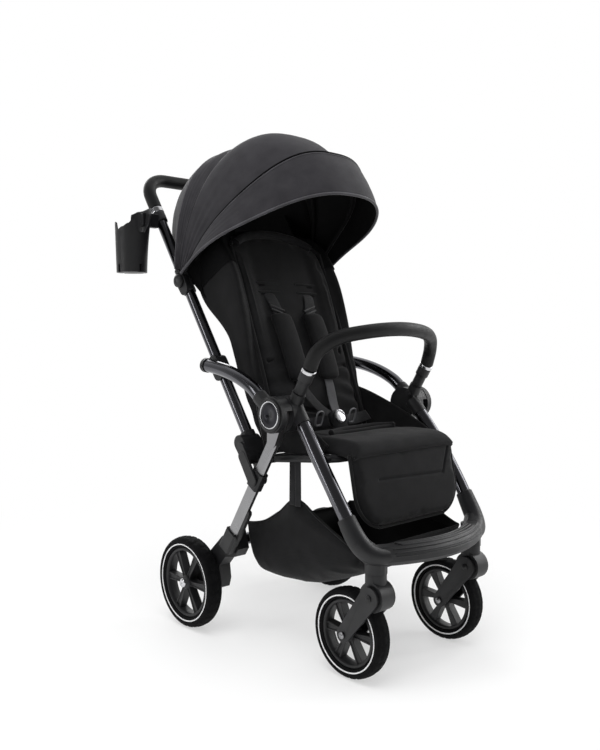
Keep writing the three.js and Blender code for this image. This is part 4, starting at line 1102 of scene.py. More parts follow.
# %% Backrest shape
BACK_Y, BACK_Z, BACK_LEAN = 14, 393, math.radians(23)
REARWARD = Vector((0, math.cos(BACK_LEAN), -math.sin(BACK_LEAN)))


def eased(t):
    return t * t * (3 - 2 * t)


def back_place(x, s, off):
    return at(x, BACK_Y + s * math.sin(BACK_LEAN) + off * math.cos(BACK_LEAN),
              BACK_Z + s * math.cos(BACK_LEAN) - off * math.sin(BACK_LEAN))


def back_section(s):
    forward = -31 * math.sin(math.pi * clamp((s - 130) / 400) ** 1.5)
    rearward = 33 + 58 * eased(clamp((s - 270) / 150)) - 50 * clamp((s - 430) / 104)
    half = 162 * (1 - 0.22 * clamp((s - 474) / 60) ** 2) * (0.9 + 0.1 * clamp(s / 200))
    marks = [(0, 0), (0.5, 0), (0.66, 0.3 * forward), (0.83, 0.75 * forward), (0.985, forward),
             (1, 0.5 * rearward), (1, rearward)]
    return [(share * half, off) for share, off in marks]


def on_section(s, share):
    """A point of the half section, share 0 at the middle and 1 at its rear edge."""
    marks = back_section(s)
    place = share * (len(marks) - 1)
    k = min(int(place), len(marks) - 2)
    mirrored = [(-marks[1][0], marks[1][1]), *marks]
    return [smooth(values, k + 1, place - k) for values in zip(*mirrored)]


def back_off(x, s):
    """How far the shell's face stands to the rear at a place across."""
    marks = back_section(s)
    for (x0, off0), (x1, off1) in zip(marks[:5], marks[1:5]):
        if abs(x) <= x1:
            return off0 + (off1 - off0) * eased((abs(x) - x0) / (x1 - x0))
    return marks[4][1]


print("backrest half", round(back_section(300)[-1][0]), "mm wide at 300 mm up")

# %% [markdown]
# The shell is one sheet. A cap closes the top of each wing, and a curtain hangs on each side from the hood's
# drape to the wing, so no light falls in from behind; both are near-black cloth, whose colour also paints the
# shade under the hood there.

# %% Backrest shell, caps and curtains
WING_TOP = 438
CURTAIN_HOOP = between("drape", "rear", 0.62)


def shell_top(share):
    return 34 * share ** 2.4


def shell_point(u, v):
    share = abs(2 * u - 1)
    s = 10 + (524 - shell_top(share)) * v
    x, off = on_section(s, share)
    ripple = 2.2 * noise.noise(Vector((u * 10, v * 7, 3.1)))
    ripple += 1.6 * math.sin(s / 9 + 9 * abs(u - 0.5)) * clamp((0.5 - v) * 3)
    return back_place(math.copysign(x, 0.5 - u), s, off + ripple * clamp(share * 3 - 0.6))


def cap_point(out, u, v):
    share = 0.37 + 0.63 * u
    low = WING_TOP - 19 * u * u
    s = low + (535.5 - shell_top(share) - low) * v
    x, off = on_section(s, share)
    return back_place(out * (x + 1.5), s, off - 2)


def curtain_point(out, u, v):
    k = 0.01 + 0.2 * v
    outer = on_hoop(CURTAIN_HOOP, k if out > 0 else 1 - k, inset=3)
    s = 392 + 122 * v
    x, off = on_section(s, 0.93)
    inner = back_place(out * (x + 2.5), s, off)
    return outer.lerp(inner, u) + Vector((0, 0.006 * math.sin(math.pi * u), 0))


shell = make_piece("backrest_shell", sheet_of(shell_point, 120, 90, 3), oxford, "backrest", ("backrest",))
for side, out in SIDES:
    # cap and curtain take the near-black cloth, which paints the shade at the wing's top and in the gap beside the
    # hood
    cap = sheet_of(lambda u, v: cap_point(out, u, v), 40, 24, 0.8 * out)
    make_piece(f"backrest_wing_cap_{side}", cap, lining_and_shade_cloth, "backrest")
    curtain = sheet_of(lambda u, v: curtain_point(out, u, v), 16, 24, 0.8)
    make_piece(f"hood_side_curtain_{side}", curtain, lining_and_shade_cloth, "push_frame")
print("backrest shell", len(shell.data.vertices), "points, with caps and side curtains")

# %% [markdown]
# ## Pads
# A pad is made as a thin closed form, remeshed finely and blown up with Blender's cloth solver, which
# wrinkles it as stuffing does. In quick mode the solver is left out, so a pad's face then stays where it
# was cut; `puff` is how far the stuffing may lift it, and whatever lies on a pad is raised by as much.

# %% Stuffing a pad
def stuffed(obj, voxel_mm, cap_mm, pressure=4.0, frames=20):
    """Remeshes a pad and lets the cloth solver blow it up, moving no point further than the cap."""
    remesh = obj.modifiers.new("even_mesh", "REMESH")
    remesh.mode = "VOXEL"
    remesh.voxel_size = voxel_mm / 1000
    frozen(obj)
    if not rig.quick():
        before = [v.co.copy() for v in obj.data.vertices]
        cloth = obj.modifiers.new("cloth", "CLOTH")
        cloth.settings.use_pressure = True
        cloth.settings.uniform_pressure_force = pressure
        cloth.settings.effector_weights.gravity = 0
        cloth.settings.tension_stiffness = cloth.settings.compression_stiffness = 12
        cloth.settings.bending_stiffness = 0.6
        cloth.point_cache.frame_start, cloth.point_cache.frame_end = 1, frames
        for frame_number in range(1, frames + 1):
            bpy.context.scene.frame_set(frame_number)
        frozen(obj)
        bpy.context.scene.frame_set(1)
        for vertex, start in zip(obj.data.vertices, before):
            move = vertex.co - start
            if move.length > cap_mm / 1000:
                vertex.co = start + move.normalized() * cap_mm / 1000
    finer = obj.modifiers.new("finer", "SUBSURF")
    finer.levels = finer.render_levels = 1
    frozen(obj)
    obj.data.polygons.foreach_set("use_smooth", [True] * len(obj.data.polygons))
    return obj


puff = 0 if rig.quick() else 4
print("stuffing lifts a pad's face by", puff, "mm")

# %% [markdown]
# Sewn lines and creases are pressed into a pad's face afterwards. The pad itself starts as two even grids,
# front and back, inside a rounded outline, and meets in a rounded edge.

# %% Pressed lines, grids and rims
REACH_M = 0.004


def pressed(obj, lines, width_mm, depth_mm, way):
    """Presses lines into a pad's face, along way: each line is a list of points near that face."""
    segments = [(a, b) for line in lines for a, b in zip(line, line[1:])]
    for vertex in obj.data.vertices:
        if (vertex.co - segments[0][0]).dot(way) > REACH_M:
            continue
        near = 1.0
        for a, b in segments:
            gap = (vertex.co - a) - (b - a) * clamp((vertex.co - a).dot(b - a) / (b - a).length_squared)
            near = min(near, (gap - way * gap.dot(way)).length)
        if near < width_mm / 1000:
            fall = 0.5 + 0.5 * math.cos(math.pi * near / (width_mm / 1000))
            vertex.co += way * depth_mm / 1000 * fall


def rounded_reach(s, half, length, corner, foot_corner=10.0):
    """How far the outline reaches to each side at a distance s along the pad."""
    for start, r, sign in ((length - corner, corner, 1), (foot_corner, foot_corner, -1)):
        d = (s - start) * sign
        if d > 0:
            half += math.sqrt(max(r * r - d * d, 0)) - r
    return half


def lay_grid(half, length, corner, thick, place, step):
    columns, rows = int(2 * half / step), int(length / step)
    front, rear = [], []
    for j in range(rows + 1):
        s = length * j / rows
        reach = rounded_reach(s, half, length, corner)
        for i in range(columns + 1):
            x = reach * (2 * i / columns - 1)
            near = clamp(min((reach - abs(x)), s, length - s) / (0.55 * thick))
            depth = 0.5 * thick * math.sqrt(max(near * (2 - near), 0)) + 0.01
            front.append(place(x, s, -depth))
            rear.append(place(x, s, depth))
    count = columns + 1
    faces = []
    for j in range(rows):
        for i in range(columns):
            a = j * count + i
            b = a + len(front)
            faces.append((a, a + 1, a + count + 1, a + count))
            faces.append((b, b + count, b + count + 1, b + 1))
    edge = [*range(count), *(j * count + columns for j in range(1, rows + 1)),
            *(rows * count + i for i in range(columns - 1, -1, -1)),
            *(j * count for j in range(rows - 1, 0, -1))]
    faces += [(b, a, a + len(front), b + len(front)) for a, b in zip(edge, edge[1:] + edge[:1])]
    return front + rear, faces


def rounded_rim(half, length, corner, start):
    """Places (x, s) up one side of a pad, round its far end and down the other side."""
    places = [(-half, start), (-half, (start + length - corner) / 2)]
    for cx, a0 in ((corner - half, 180), (half - corner, 90)):
        for k in range(9):
            a = math.radians(a0 - 90 * k / 8)
            places.append((cx + corner * math.cos(a), length - corner + corner * math.sin(a)))
    return places + [(half, (start + length - corner) / 2), (half, start)]


print("a pad's corner takes", len(rounded_rim(100, 100, 10, 0)) // 2 - 2, "points")

# %% [markdown]
# The backrest's pad is a gable at its top and follows the shell. Low on its sides the cloth gathers in small
# wrinkles, and a few creases run in from its edges. A roll is sewn round it and a thicker hem along its top.

# %% Backrest pad
PAD = {"half": 134, "length": 480, "corner": 30, "foot": 16, "gable": 26}
CREASES = [[(-134, 252), (-104, 257), (-80, 238)], [(-134, 236), (-110, 240), (-83, 216)],
           [(-134, 202), (-121, 207), (-72, 206)], [(134, 226), (112, 230), (94, 214)],
           [(134, 188), (114, 194), (90, 190)], [(-60, 96), (-20, 88), (24, 92)]]


def crown(x, half, rise):
    """How much a stuffed face rises at a place across."""
    return rise * math.cos(min(abs(x) / half, 1) * math.pi / 2)


def pad_place(x, s, off):
    height = s + PAD["foot"] + PAD["gable"] * (1 - (x / PAD["half"]) ** 2) * clamp(s / PAD["length"]) ** 6
    wrinkle = 3.4 * math.sin(height / 6.4 + 0.045 * abs(x)
                             + 1.3 * noise.noise(Vector((x / 60, height / 50, 0.5))))
    wrinkle *= clamp((abs(x) - 50) / 40) * clamp((height - 60) / 50) * clamp((240 - height) / 70)
    swell = crown(x, PAD["half"], 3.5) + wrinkle
    return back_place(x, height, back_off(x, height) - 1 + off - (swell if off < 0 else 0))


grid = lay_grid(PAD["half"], PAD["length"], PAD["corner"], 15, pad_place, 7)
pad = stuffed(make_piece("backrest_pad", grid, oxford, None), 5, puff)
for crease in CREASES:
    pressed(pad, [[pad_place(x, s - PAD["foot"], -8 - puff) for x, s in crease]], 8.5, 6.5, REARWARD)
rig.ride(pad, "backrest")
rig.padded(pad, fill=0.5)
rim = rounded_rim(PAD["half"], PAD["length"], PAD["corner"], 20)
tube("backrest_pad_roll", [pad_place(x, s, -2) for x, s in rim], 4.2, oxford, "backrest", steps=150, sides=14)
hem = [(x, PAD["length"] - 1 - 14 * (abs(x) / 118) ** 6) for x in range(-118, 119, 8)]
roll = tube("backrest_top_hem", [pad_place(x, s, -5 - 0.5 * puff) for x, s in hem], 9.5, oxford, "backrest",
            steps=110, sides=20, end_round=6)
for vertex in roll.data.vertices:
    vertex.co += Vector((0, -1, 0.4)) * 0.0012 * noise.noise(vertex.co * 55)
print("backrest pad", len(pad.data.vertices), "points")

# %% [markdown]
# ## Seat, side cloths and leg rest
# The seat cushion lies on the frame between two cloth sides that hang from the hubs. Across it lie two bowed
# rolls, the lips of the cover, and from them a flap runs over the cushion's front edge down on to the leg
# rest.

# %% Seat cushion and lips
def seat_place(x, s, off):
    return at(x, -s, 430.2 - off + (crown(x, 150, 2.5) if off < 0 else 0))


grid = lay_grid(146, 182, 14, 20, seat_place, 7)
seat = stuffed(make_piece("seat_cushion", grid, oxford, None, ("seat_pad",)), 5, puff)
pressed(seat, [[at(x, -20, 443), at(x, -100, 443)] for x in (-100, 100)], 5, 3, Vector((0, 0, -1)))
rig.ride(seat, "front_frame")
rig.padded(seat, fill=0.6)
LIP = [(-104, -98), (-92, -92), (-50, -78), (0, -70), (50, -68), (92, -80), (104, -88)]
for name, bow, z, r in (("upper", 0, 447.5 + puff, 5.6), ("lower", 19, 444 + puff, 4.6)):
    tube(f"seat_lip_{name}", [at(x, y - bow * (1 - (x / 104) ** 2), z) for x, y in LIP], r, oxford,
         "front_frame", steps=70, sides=14, end_round=4)
print("seat cushion", len(seat.data.vertices), "points")

# %% Seat flap
FLAP = [(-84, 437), (-110, 441), (-150, 442), (-174, 442), (-190, 440), (-201, 435.5), (-207.5, 429),
        (-209, 422), (-204, 416)]


def flap_point(u, v):
    place = v * (len(FLAP) - 1)
    k = min(int(place), len(FLAP) - 2)
    y, z = [smooth(values, k, place - k) for values in zip(*FLAP)]
    share = abs(2 * u - 1)
    hem = clamp((share - 0.86) / 0.14)
    skirt = (1 - clamp(3 * v - 1.6)) * 24 * hem ** 1.6
    x = math.copysign((150 + 4 * clamp(2 * v - 0.6)) * (share - 0.03 * hem ** 3), 0.5 - u)
    ripple = 0.8 * noise.noise(Vector((u * 9, v * 5, 8.3)))
    return at(x, y + 4 * share ** 8 * clamp(v * 2 - 1),
              z + (puff + 1) * (1 - v) - skirt - 5 * share ** 8 + ripple)


flap = make_piece("seat_front_flap", sheet_of(flap_point, 70, 44, 2.5), oxford, None)
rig.blend(flap, "front_frame", "leg_rest", start=at(0, -178, 440), end=at(0, -208, 424))
print("flap", round(length_of([flap_point(0.5, k / 20) for k in range(21)]), 3), "m long in its middle")

# %% Seat sides
RAIL = [(-145, 434), (-120, 449), (-91, 463), (-57, 478), (-20, 493), (19, 507), (48, 516), (76, 523)]
FOOT = [-120, -100, -78, -54, -30, -6, 18, 42]


def side_point(out, rail, u, v):
    """Cloth between the foot of the seat at u = 0 and its rail at u = 1, with a shallow sag."""
    place = v * (len(rail) - 1)
    k = min(int(place), len(rail) - 2)
    foot = [at(out * 157, y, 409) for y in FOOT[k:k + 2]]
    high, low = rail[k].lerp(rail[k + 1], place - k), foot[0].lerp(foot[1], place - k)
    sag = (2.4 + 1.2 * math.sin(14 * v + 5 * u)) * math.sin(math.pi * u)
    return low.lerp(high, u) + Vector((out * sag / 1000, 0, 0))


for side, out in SIDES:
    rail = [at(out * 158.5, y, z) for y, z in RAIL]
    cloth = sheet_of(lambda u, v: side_point(out, rail, u, v), 16, 50, 2.2 * out)
    make_piece(f"seat_side_{side}", cloth, oxford, "front_frame")
    tube(f"seat_side_hem_{side}", rail, 2.6, oxford, "front_frame", steps=60, sides=12)
print("side rails", round(length_of(rail), 3), "m long")

# %% [markdown]
# The leg rest is a stiffened pad with rounded lower corners, a pressed line across it that turns up at one
# end, and a rolled edge; it lifts about its top.

# %% Leg rest
LEG_Y, LEG_Z, LEG_LEAN = -193.2, 430, math.radians(11.5)
LEG_SEAMS = [[(-92, 60), (20, 64), (102, 67)], [(102, 67), (134, 8)]]


def leg_place(x, s, off):
    d = off - (crown(x, 155, 2.0) if off < 0 else 0)
    return at(x, LEG_Y - (s + 2) * math.sin(LEG_LEAN) + d * math.cos(LEG_LEAN),
              LEG_Z - (s + 2) * math.cos(LEG_LEAN) - d * math.sin(LEG_LEAN))


grid = lay_grid(154, 151, 66, 15, leg_place, 6)
leg_rest = stuffed(make_piece("leg_rest_pad", grid, oxford, None, ("leg_rest",)), 4, puff)
pressed(leg_rest, [[leg_place(x, s, -9 - puff) for x, s in line] for line in LEG_SEAMS], 4.5, 3.0,
        Vector((0, math.cos(LEG_LEAN), -math.sin(LEG_LEAN))))
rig.ride(leg_rest, "leg_rest")
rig.padded(leg_rest, fill=0.4)
tube("leg_rest_roll", [leg_place(x, s, 0) for x, s in rounded_rim(152, 149, 66, 6)], 3.4, oxford, "leg_rest",
     steps=150, sides=12)
print("leg rest", len(leg_rest.data.vertices), "points")

# %% [markdown]
# ## Harness
# A strap is flat webbing along a route of (point, outward way). Its section is a soft rectangle, crowned a
# little; padded covers have rounded ends.

# %% Straps
def back_out(lift=0.0):
    return Vector((0, -math.cos(BACK_LEAN), math.sin(BACK_LEAN) + lift))


def strap(name, route, width_mm, thick_mm, finish, crowned=0.3, steps=40, round_ends=False):
    path, outs = [curve_through(list(line), steps) for line in zip(*route)]
    rings = []
    for i, p in enumerate(path):
        ahead = (path[min(i + 1, steps)] - path[max(i - 1, 0)]).normalized()
        side = ahead.cross(outs[i]).normalized()
        out = side.cross(ahead).normalized()
        w, t = width_mm / 2000, thick_mm / 1000
        if round_ends:
            near = clamp(min(i, steps - i) / steps * length_of(path) / (0.5 * w))
            w *= 0.62 + 0.38 * math.sqrt(near * (2 - near))
            t *= 0.45 + 0.55 * math.sqrt(near * (2 - near))
        ring = []
        for c, s in circle(1, 24):
            x = w * math.copysign(abs(c) ** 0.35, c)
            y = t * (0.5 + 0.5 * math.copysign(abs(s) ** 0.6, s))
            y += crowned * t * (1 - (x / w) ** 2) if s > 0 else 0
            ring.append(p + side * x + out * y)
        rings.append(ring)
    return make_piece(name, skin(rings), finish, None)


print("straps face", [round(v, 2) for v in back_out()])

# %% [markdown]
# Two padded shoulder straps come out of stitched slots in the backrest and lie on its pad. Webbing runs on
# from them to the buckle, grey on one side, and waist straps join it from the sides. All four pairs stretch
# between the seat and the backrest when that reclines.

# %% Shoulder and waist straps
buckle_at = at(0, -6, 466)
harness_from, harness_to = at(0, 20, 490), at(0, 100, 600)
PAD_ROUTE = ((48, 316, 9), (48, 290, 14), (47.5, 250, 16), (47, 205, 16), (46, 158, 14))
TOP_ROUTE = ((60, 372, 8), (56, 350, 12), (50, 328, 12), (48, 306, 12))
WAIST_ROUTE = ((138, 24, 462, -0.8, 0.6), (95, 16, 458, -0.8, 0.6), (50, 4, 458, -0.9, 0.4),
               (17, -4, 463, -0.95, 0.3))


def on_pad(out, route):
    return [(back_place(out * x, s, -lift - puff), back_out()) for x, s, lift in route]


for side, out in SIDES:
    cover = strap(f"shoulder_pad_{side}", on_pad(out, PAD_ROUTE), 56, 12, oxford, 0.5, 60, round_ends=True)
    top = strap(f"shoulder_webbing_{side}", on_pad(out, TOP_ROUTE), 30, 2.4, webbing, 0.1, 24)
    route = [(back_place(out * 46, 176, -13 - puff), back_out()),
             (back_place(out * 41, 140, -16 - puff), back_out(0.1)),
             (back_place(out * 26, 98, -30), back_out(0.2)),
             (buckle_at + Vector((out * 0.013, 0.006, 0.008)), back_out(0.2))]
    finish = grey_webbing if side == "left" else webbing
    low = strap(f"harness_webbing_{side}", route, 25, 2.0, finish, 0.1, 30)
    route = [(at(out * x, y, z), Vector((0, ahead, up))) for x, y, z, ahead, up in WAIST_ROUTE]
    waist = strap(f"waist_webbing_{side}", route, 25, 2.0, webbing, 0.1, 30)
    for obj in (cover, top, low, waist):
        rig.blend(frozen(obj), "front_frame", "backrest", start=harness_from, end=harness_to)
    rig.padded(cover, fill=0.5)
print("waist webbing", round(length_of([p for p, _ in route]), 3), "m on each side")

# %% [markdown]
# Each slot has a welt above it and, under that, a thin strip of near-black cloth that paints the shade in its
# opening, at two heights so that the straps can be moved as a child grows. A slider with two bars shortens
# the webbing, and a grey loop holds the waist strap.

# %% Slots, sliders and loops
LOOP = [(-8, -13), (8, -13), (8, 13), (-8, 13), (-8, -13), (8, -13)]
for side, out in SIDES:
    for k, height in enumerate((394, 372)):
        welt = [back_place(out * 60 + x, height, -10.6 - puff - crown(x, 36, 1.2)) for x in range(-34, 35, 4)]
        tube(f"slot_welt_{side}_{k + 1}", welt, 2.6, oxford, "backrest", sides=10, end_round=3)
        # a strip of near-black cloth under the welt paints the shade in the slot's opening
        shade_strip_route = [(back_place(out * 60 + x, height - 5, -10.2 - puff), back_out()) for x in (-30, 0, 30)]
        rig.ride(strap(f"slot_painted_shade_{side}_{k + 1}", shade_strip_route, 7, 0.8, lining_and_shade_cloth, 0.1, 10), "backrest")
    for k, height in enumerate((332, 322)):
        bar = [back_place(out * (49 + x), height + 0.35 * x, -14.5 - puff - 0.9 * k)
               for x in range(-20, 21, 5)]
        tube(f"slider_bar_{side}_{k + 1}", bar, 2.4, nylon, "backrest", steps=30, sides=12, end_round=2)
    tube(f"waist_loop_{side}", [at(out * 50 + x, -10 - 0.28 * z, 468 + z) for x, z in LOOP], 1.9,
         grey_plastic, "front_frame", steps=90, sides=10)
print("two slots and one slider on each side")

# %% [markdown]
# The buckle stands on a padded crotch strap. Its button is a plain chromed cap.

# %% Crotch strap and buckle
CROTCH = ((-24, 442, 0.2), (-19, 450, 0.3), (-13, 462, 0.3))
route = [(at(0, y, z), Vector((0, -1, up))) for y, z, up in CROTCH]
crotch = strap("crotch_pad", route, 40, 9, oxford, 0.4, 20)
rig.ride(crotch, "front_frame")
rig.padded(crotch, fill=0.6)
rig.replaces(crotch, "harness")
moulded("buckle", nylon, 1.4)
low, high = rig.box("buckle_button")
press = (low + high) / 2
tube("buckle_cap", [press + back_out() * 0.0055, press + back_out() * 0.013], 14.5, chrome, "buckle_release",
     ("buckle_button",), steps=4, sides=40, end_round=2.2)
print("harness of five straps")

# %% [markdown]
# ## Basket
# The basket is one sling of Oxford cloth, hung by two straps on each side from the seat's rails, so its rim
# peaks there and droops to the front and rear. The section is a soft rounded trough, deeper in the middle,
# whose ends close up. Rim and floor give their heights at the same places along it.

# %% Basket sling
RIM_Y = [-222, -170, -110, -67, -43, -5, 45, 100]
RIM_Z = [246, 266, 293, 316, 315, 286, 258, 246]
FLOOR_Z = [206, 179, 154, 137, 130, 126, 126, 130]


def height_at(y, heights):
    k = max(min(sum(y > place for place in RIM_Y) - 1, len(RIM_Y) - 2), 0)
    return smooth(heights, k, clamp((y - RIM_Y[k]) / (RIM_Y[k + 1] - RIM_Y[k])))


def basket_point(u, v):
    y = -221 + 320 * v
    end = clamp(min(v, 1 - v) / 0.07)
    deep = math.sqrt(end * (2 - end))
    top, low = height_at(y, RIM_Z), height_at(y, FLOOR_Z)
    c, s = math.cos(math.pi * u), math.sin(math.pi * u)
    x = 156 * math.copysign(abs(c) ** 0.5, c)
    hang = abs(s) ** 0.42
    crumple = 3.5 * noise.noise(Vector((u * 8, v * 6, 1.7)))
    crumple += 2.2 * math.sin(20 * v + 7 * u) * hang * (1 - abs(s) ** 4)
    z = top - (top - low) * hang * (0.06 + 0.94 * deep)
    return at(x - math.copysign(1, c) * abs(crumple) * hang, y, z + abs(crumple) * 0.5 * hang)


def lining_point(u, v):
    return basket_point(0.02 + 0.96 * u, 0.02 + 0.96 * v) + Vector((0, 0, 0.003))


sling = sheet_of(basket_point, 110, 90, 1.6)
cloths = [make_piece("basket_sling", sling, oxford, None, ("basket",))]
print("basket sling", len(sling[0]), "points")

# %% [markdown]
# A binding runs round the rim and a seam along each side, and a black lining lies in it. The whole sling
# stretches between the front frame and the rear one, and its straps hang from the seat's rails.

# %% Basket rim, seams, lining and straps
SHARES = [k / 40 for k in range(41)]
EDGES = (("rim_left", lambda t: (0.0, t), 2.4), ("rim_right", lambda t: (1.0, t), 2.4),
         ("end_front", lambda t: (t, 0.0), 2.2), ("end_rear", lambda t: (t, 1.0), 2.2))
for name, place, radius in EDGES:
    path = [basket_point(*place(t)) for t in SHARES]
    cloths.append(tube(f"basket_{name}", path, radius, oxford, None, steps=100, sides=10))
for side, out in SIDES:
    path = [basket_point(0.5 - out * (0.37 + 0.05 * math.sin(math.pi * t)), 0.04 + 0.9 * t) for t in SHARES]
    cloths.append(tube(f"basket_seam_{side}", path, 1.1, oxford, None, steps=100, sides=8))
cloths.append(make_piece("basket_lining", sheet_of(lining_point, 70, 60, -0.8), lining_and_shade_cloth, None))
for obj in cloths:
    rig.blend(frozen(obj), "front_frame", "rear_frame", start=at(0, -60, 240), end=at(0, 98, 200))
SNAP = [(0.01, 2.6), (3.4, 2.4), (4.8, 1.2), (5, 0), (0.01, 0)]
for side, out in SIDES:
    for k, shift in enumerate((-8.4, 8.4)):
        route = [(at(out * (160 - k), PIN_Y + shift * (1 + 0.12 * t), 398 - 92 * t), Vector((out, 0, 0)))
                 for t in (0, 0.35, 0.7, 1)]
        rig.ride(strap(f"basket_strap_{side}_{k + 1}", route, 17, 1.8, webbing, 0.1, 24), "front_frame")
    turned(f"basket_snap_{side}", [(r, out * (157.6 + x)) for r, x in SNAP], PIN_Y, 309, nylon, "front_frame",
           segments=32)
print("basket of", len(cloths), "pieces of cloth and four straps")

# %% [markdown]
# ## Seat frame
# The seat frame is a thin bent tube under the cushion, with the tube that the backrest turns on.

# %% Seat frame tubes
moulded("seat_frame", nylon, 0.5, 50)
print("seat frame dressed")

# %% [markdown]
# ## Cut sizes
# Every cloth piece here came from a grid of points, so its flat size is measured along that grid: the longest
# row is the width it was cut to, the longest column the length, and the small triangles add up to its area.

BOWS = ["bow_under_middle_seam", "bow_under_top_seam"]
SHEETS = [(f"hood_{name}", 110, "stretched", BOWS) for name, *_ in HOOD]
SHEETS += [(f"hood_{name}_lining", 70, "stretched", [f"hood_{name}"]) for name, *_ in HOOD]
SHEETS += [("hood_zip_channel", 110, "stretched", ["hood_front"]),
           ("backrest_shell", 120, "stretched", ["seat_frame"]),
           ("seat_front_flap", 70, "laid", ["seat_cushion", "leg_rest_pad"]),
           ("basket_sling", 110, "hung", ["basket_rim_left", "basket_rim_right"]),
           ("basket_lining", 70, "laid", ["basket_sling"])]
for side, _ in SIDES:
    SHEETS += [(f"backrest_wing_cap_{side}", 40, "laid", ["backrest_shell"]),
               (f"hood_side_curtain_{side}", 16, "hung", ["hood_rear"]),
               (f"seat_side_{side}", 16, "stretched", ["seat_frame"])]
for name, across, held, under in SHEETS:
    piece = bpy.data.objects[name]
    co = [v.co for v in piece.data.vertices]
    rows = [co[k:k + across + 1] for k in range(0, len(co), 2 * (across + 1))]
    width, length = max(map(length_of, rows)), max(map(length_of, zip(*rows)))
    area = sum(((b - a).cross(c - a).length + (c - d).cross(b - d).length) / 2
               for r0, r1 in zip(rows, rows[1:]) for a, b, c, d in zip(r0, r0[1:], r1, r1[1:]))
    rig.sheet(piece, flat=(width, length), held=held, rests_on=under, area=min(area, width * length))
    print(f"{name}: cut {width:.3f} x {length:.3f} m, {area:.4f} m2")

# %% [markdown]
# ## Floor, light and camera
# The floor is one plain pale sheet. Near the stroller it shows half its own shading, so that the wheels cast
# soft shadows, and further out it fades to the white of the studio's sweep.

# %% Floor
floor_material = bpy.data.materials.new("matt_white_studio_vinyl")
floor_material.use_nodes = True
tree = floor_material.node_tree
shader = tree.nodes["Principled BSDF"]
shader.inputs["Base Color"].default_value = linear("#f4f4f4")
shader.inputs["Roughness"].default_value = 0.9
shader.inputs["Specular IOR Level"].default_value = 0.1
glow = add_node(tree, "ShaderNodeEmission", {"Color": (1, 1, 1, 1), "Strength": 1.0})
rays = add_node(tree, "ShaderNodeLightPath")
spot = add_node(tree, "ShaderNodeTexCoord").outputs["Object"]
away = add_node(tree, "ShaderNodeVectorMath", {"operation": "LENGTH"}, {0: spot})
fade_out = {"interpolation_type": "SMOOTHSTEP", "From Min": 0.55, "From Max": 1.5, "To Min": 0.5,
            "To Max": 1.0}
fade = add_node(tree, "ShaderNodeMapRange", fade_out, {"Value": away.outputs["Value"]})
direct = add_node(tree, "ShaderNodeMath", {"operation": "MAXIMUM"},
                  {0: rays.outputs["Is Camera Ray"], 1: rays.outputs["Is Glossy Ray"]})
seen = add_node(tree, "ShaderNodeMath", {"operation": "MULTIPLY"}, {0: fade.outputs[0], 1: direct.outputs[0]})
mixed = add_node(tree, "ShaderNodeMixShader", None,
                 {0: seen.outputs[0], 1: shader.outputs[0], 2: glow.outputs[0]})
tree.links.new(mixed.outputs[0], tree.nodes["Material Output"].inputs["Surface"])
FLOOR_RADIUS = 9
bpy.ops.mesh.primitive_circle_add(vertices=96, radius=FLOOR_RADIUS, fill_type="NGON", location=(0, 0, 0))
floor = bpy.context.object
floor.name = "studio_floor"
floor.data.materials.append(floor_material)
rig.stage(floor)
print("floor", 2 * FLOOR_RADIUS, "m across")

# %% [markdown]
# Seen directly the world is white. It lights the cloth only softly, and metal mirrors a room that is bright
# to the rear right and dark to the front left. Soft boxes light the stroller as a studio does: a large one
# overhead and one to the front left that metal doesn't mirror, two on the right, and behind a strip and a
# wide box that draw lines on the tubes.

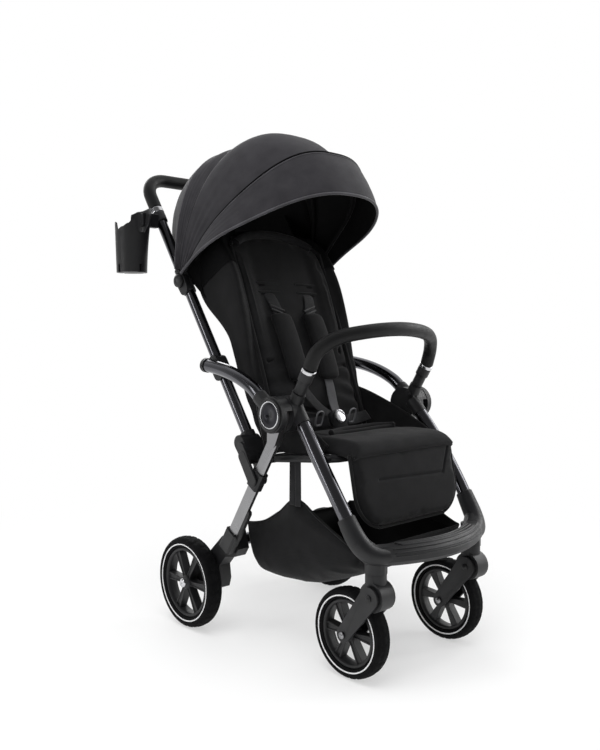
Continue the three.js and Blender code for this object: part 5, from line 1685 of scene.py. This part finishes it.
# %% World
ROOM_WAY = (0.8, 0.6, 0)
CLOTH_LEVEL = 0.28
world = bpy.data.worlds.new("studio")
bpy.context.scene.world = world
world.use_nodes = True
tree = world.node_tree
back = tree.nodes["Background"]
back.inputs["Color"].default_value = (1, 1, 1, 1)
rays = add_node(tree, "ShaderNodeLightPath")
way = add_node(tree, "ShaderNodeTexCoord").outputs["Generated"]
to_backdrop = add_node(tree, "ShaderNodeVectorMath", {"operation": "DOT_PRODUCT", 1: ROOM_WAY}, {0: way})
turn_dark = {"interpolation_type": "SMOOTHSTEP", "From Min": -0.25, "From Max": 0.3, "To Min": 0.14,
             "To Max": 1.0}
room = add_node(tree, "ShaderNodeMapRange", turn_dark, {"Value": to_backdrop.outputs["Value"]})
mirrored = add_node(tree, "ShaderNodeMix", {"data_type": "FLOAT", 2: CLOTH_LEVEL},
                    {0: rays.outputs["Is Glossy Ray"], 3: room.outputs[0]})
level = add_node(tree, "ShaderNodeMath", {"operation": "MAXIMUM"},
                 {0: mirrored.outputs[0], 1: rays.outputs["Is Camera Ray"]})
tree.links.new(level.outputs[0], back.inputs["Strength"])
print("the world lights cloth at", CLOTH_LEVEL)

# %% Soft boxes
# name, place, height aimed at, width, height, watts, mirrored by metal
SOFT_BOXES = (("overhead", (-0.6, -0.4, 3.2), 0.5, 2.4, 2.4, 76, False),
              ("front_left", (-2.6, -1.2, 1.9), 0.6, 1.4, 2.2, 24, False),
              ("left_strip", (-2.7, 0.9, 1.3), 0.6, 0.35, 2.2, 14, True),
              ("right", (2.6, -1.8, 1.5), 0.6, 0.7, 2.4, 24, True),
              ("right_high", (3.0, -0.5, 2.3), 0.5, 0.45, 1.8, 20, True),
              ("behind", (0.9, 2.8, 2.2), 0.7, 2.6, 0.9, 30, True))
for name, place, aim, width, height, watts, mirrored in SOFT_BOXES:
    light = bpy.data.lights.new(name, "AREA")
    light.shape = "RECTANGLE"
    light.size, light.size_y, light.energy = width, height, watts
    box = bpy.data.objects.new(name, light)
    bpy.context.collection.objects.link(box)
    box.location = place
    box.rotation_euler = (Vector((0, 0, aim)) - Vector(place)).to_track_quat("-Z", "Y").to_euler()
    box.visible_glossy = mirrored
print(len(SOFT_BOXES), "soft boxes")

# %% Camera
camera_data = bpy.data.cameras.new("camera")
camera_data.lens, camera_data.sensor_width = 38.56, 36
camera = bpy.data.objects.new("camera", camera_data)
bpy.context.collection.objects.link(camera)
camera.location = at(-1228.6, -1226.6, 650.2)
camera.rotation_euler = (math.radians(87), 0, math.radians(-42.7))
bpy.context.scene.camera = camera
bpy.context.scene.view_settings.view_transform = "Standard"
print("camera at", [round(v, 3) for v in camera.location])

# %% Size of the finished stroller
with open("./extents.json", "w") as file:
    json.dump({"cad": cad_box, "visual": [list(corner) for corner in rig.bounds()]}, file)
print("visual box", [[round(v, 3) for v in corner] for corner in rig.bounds()])
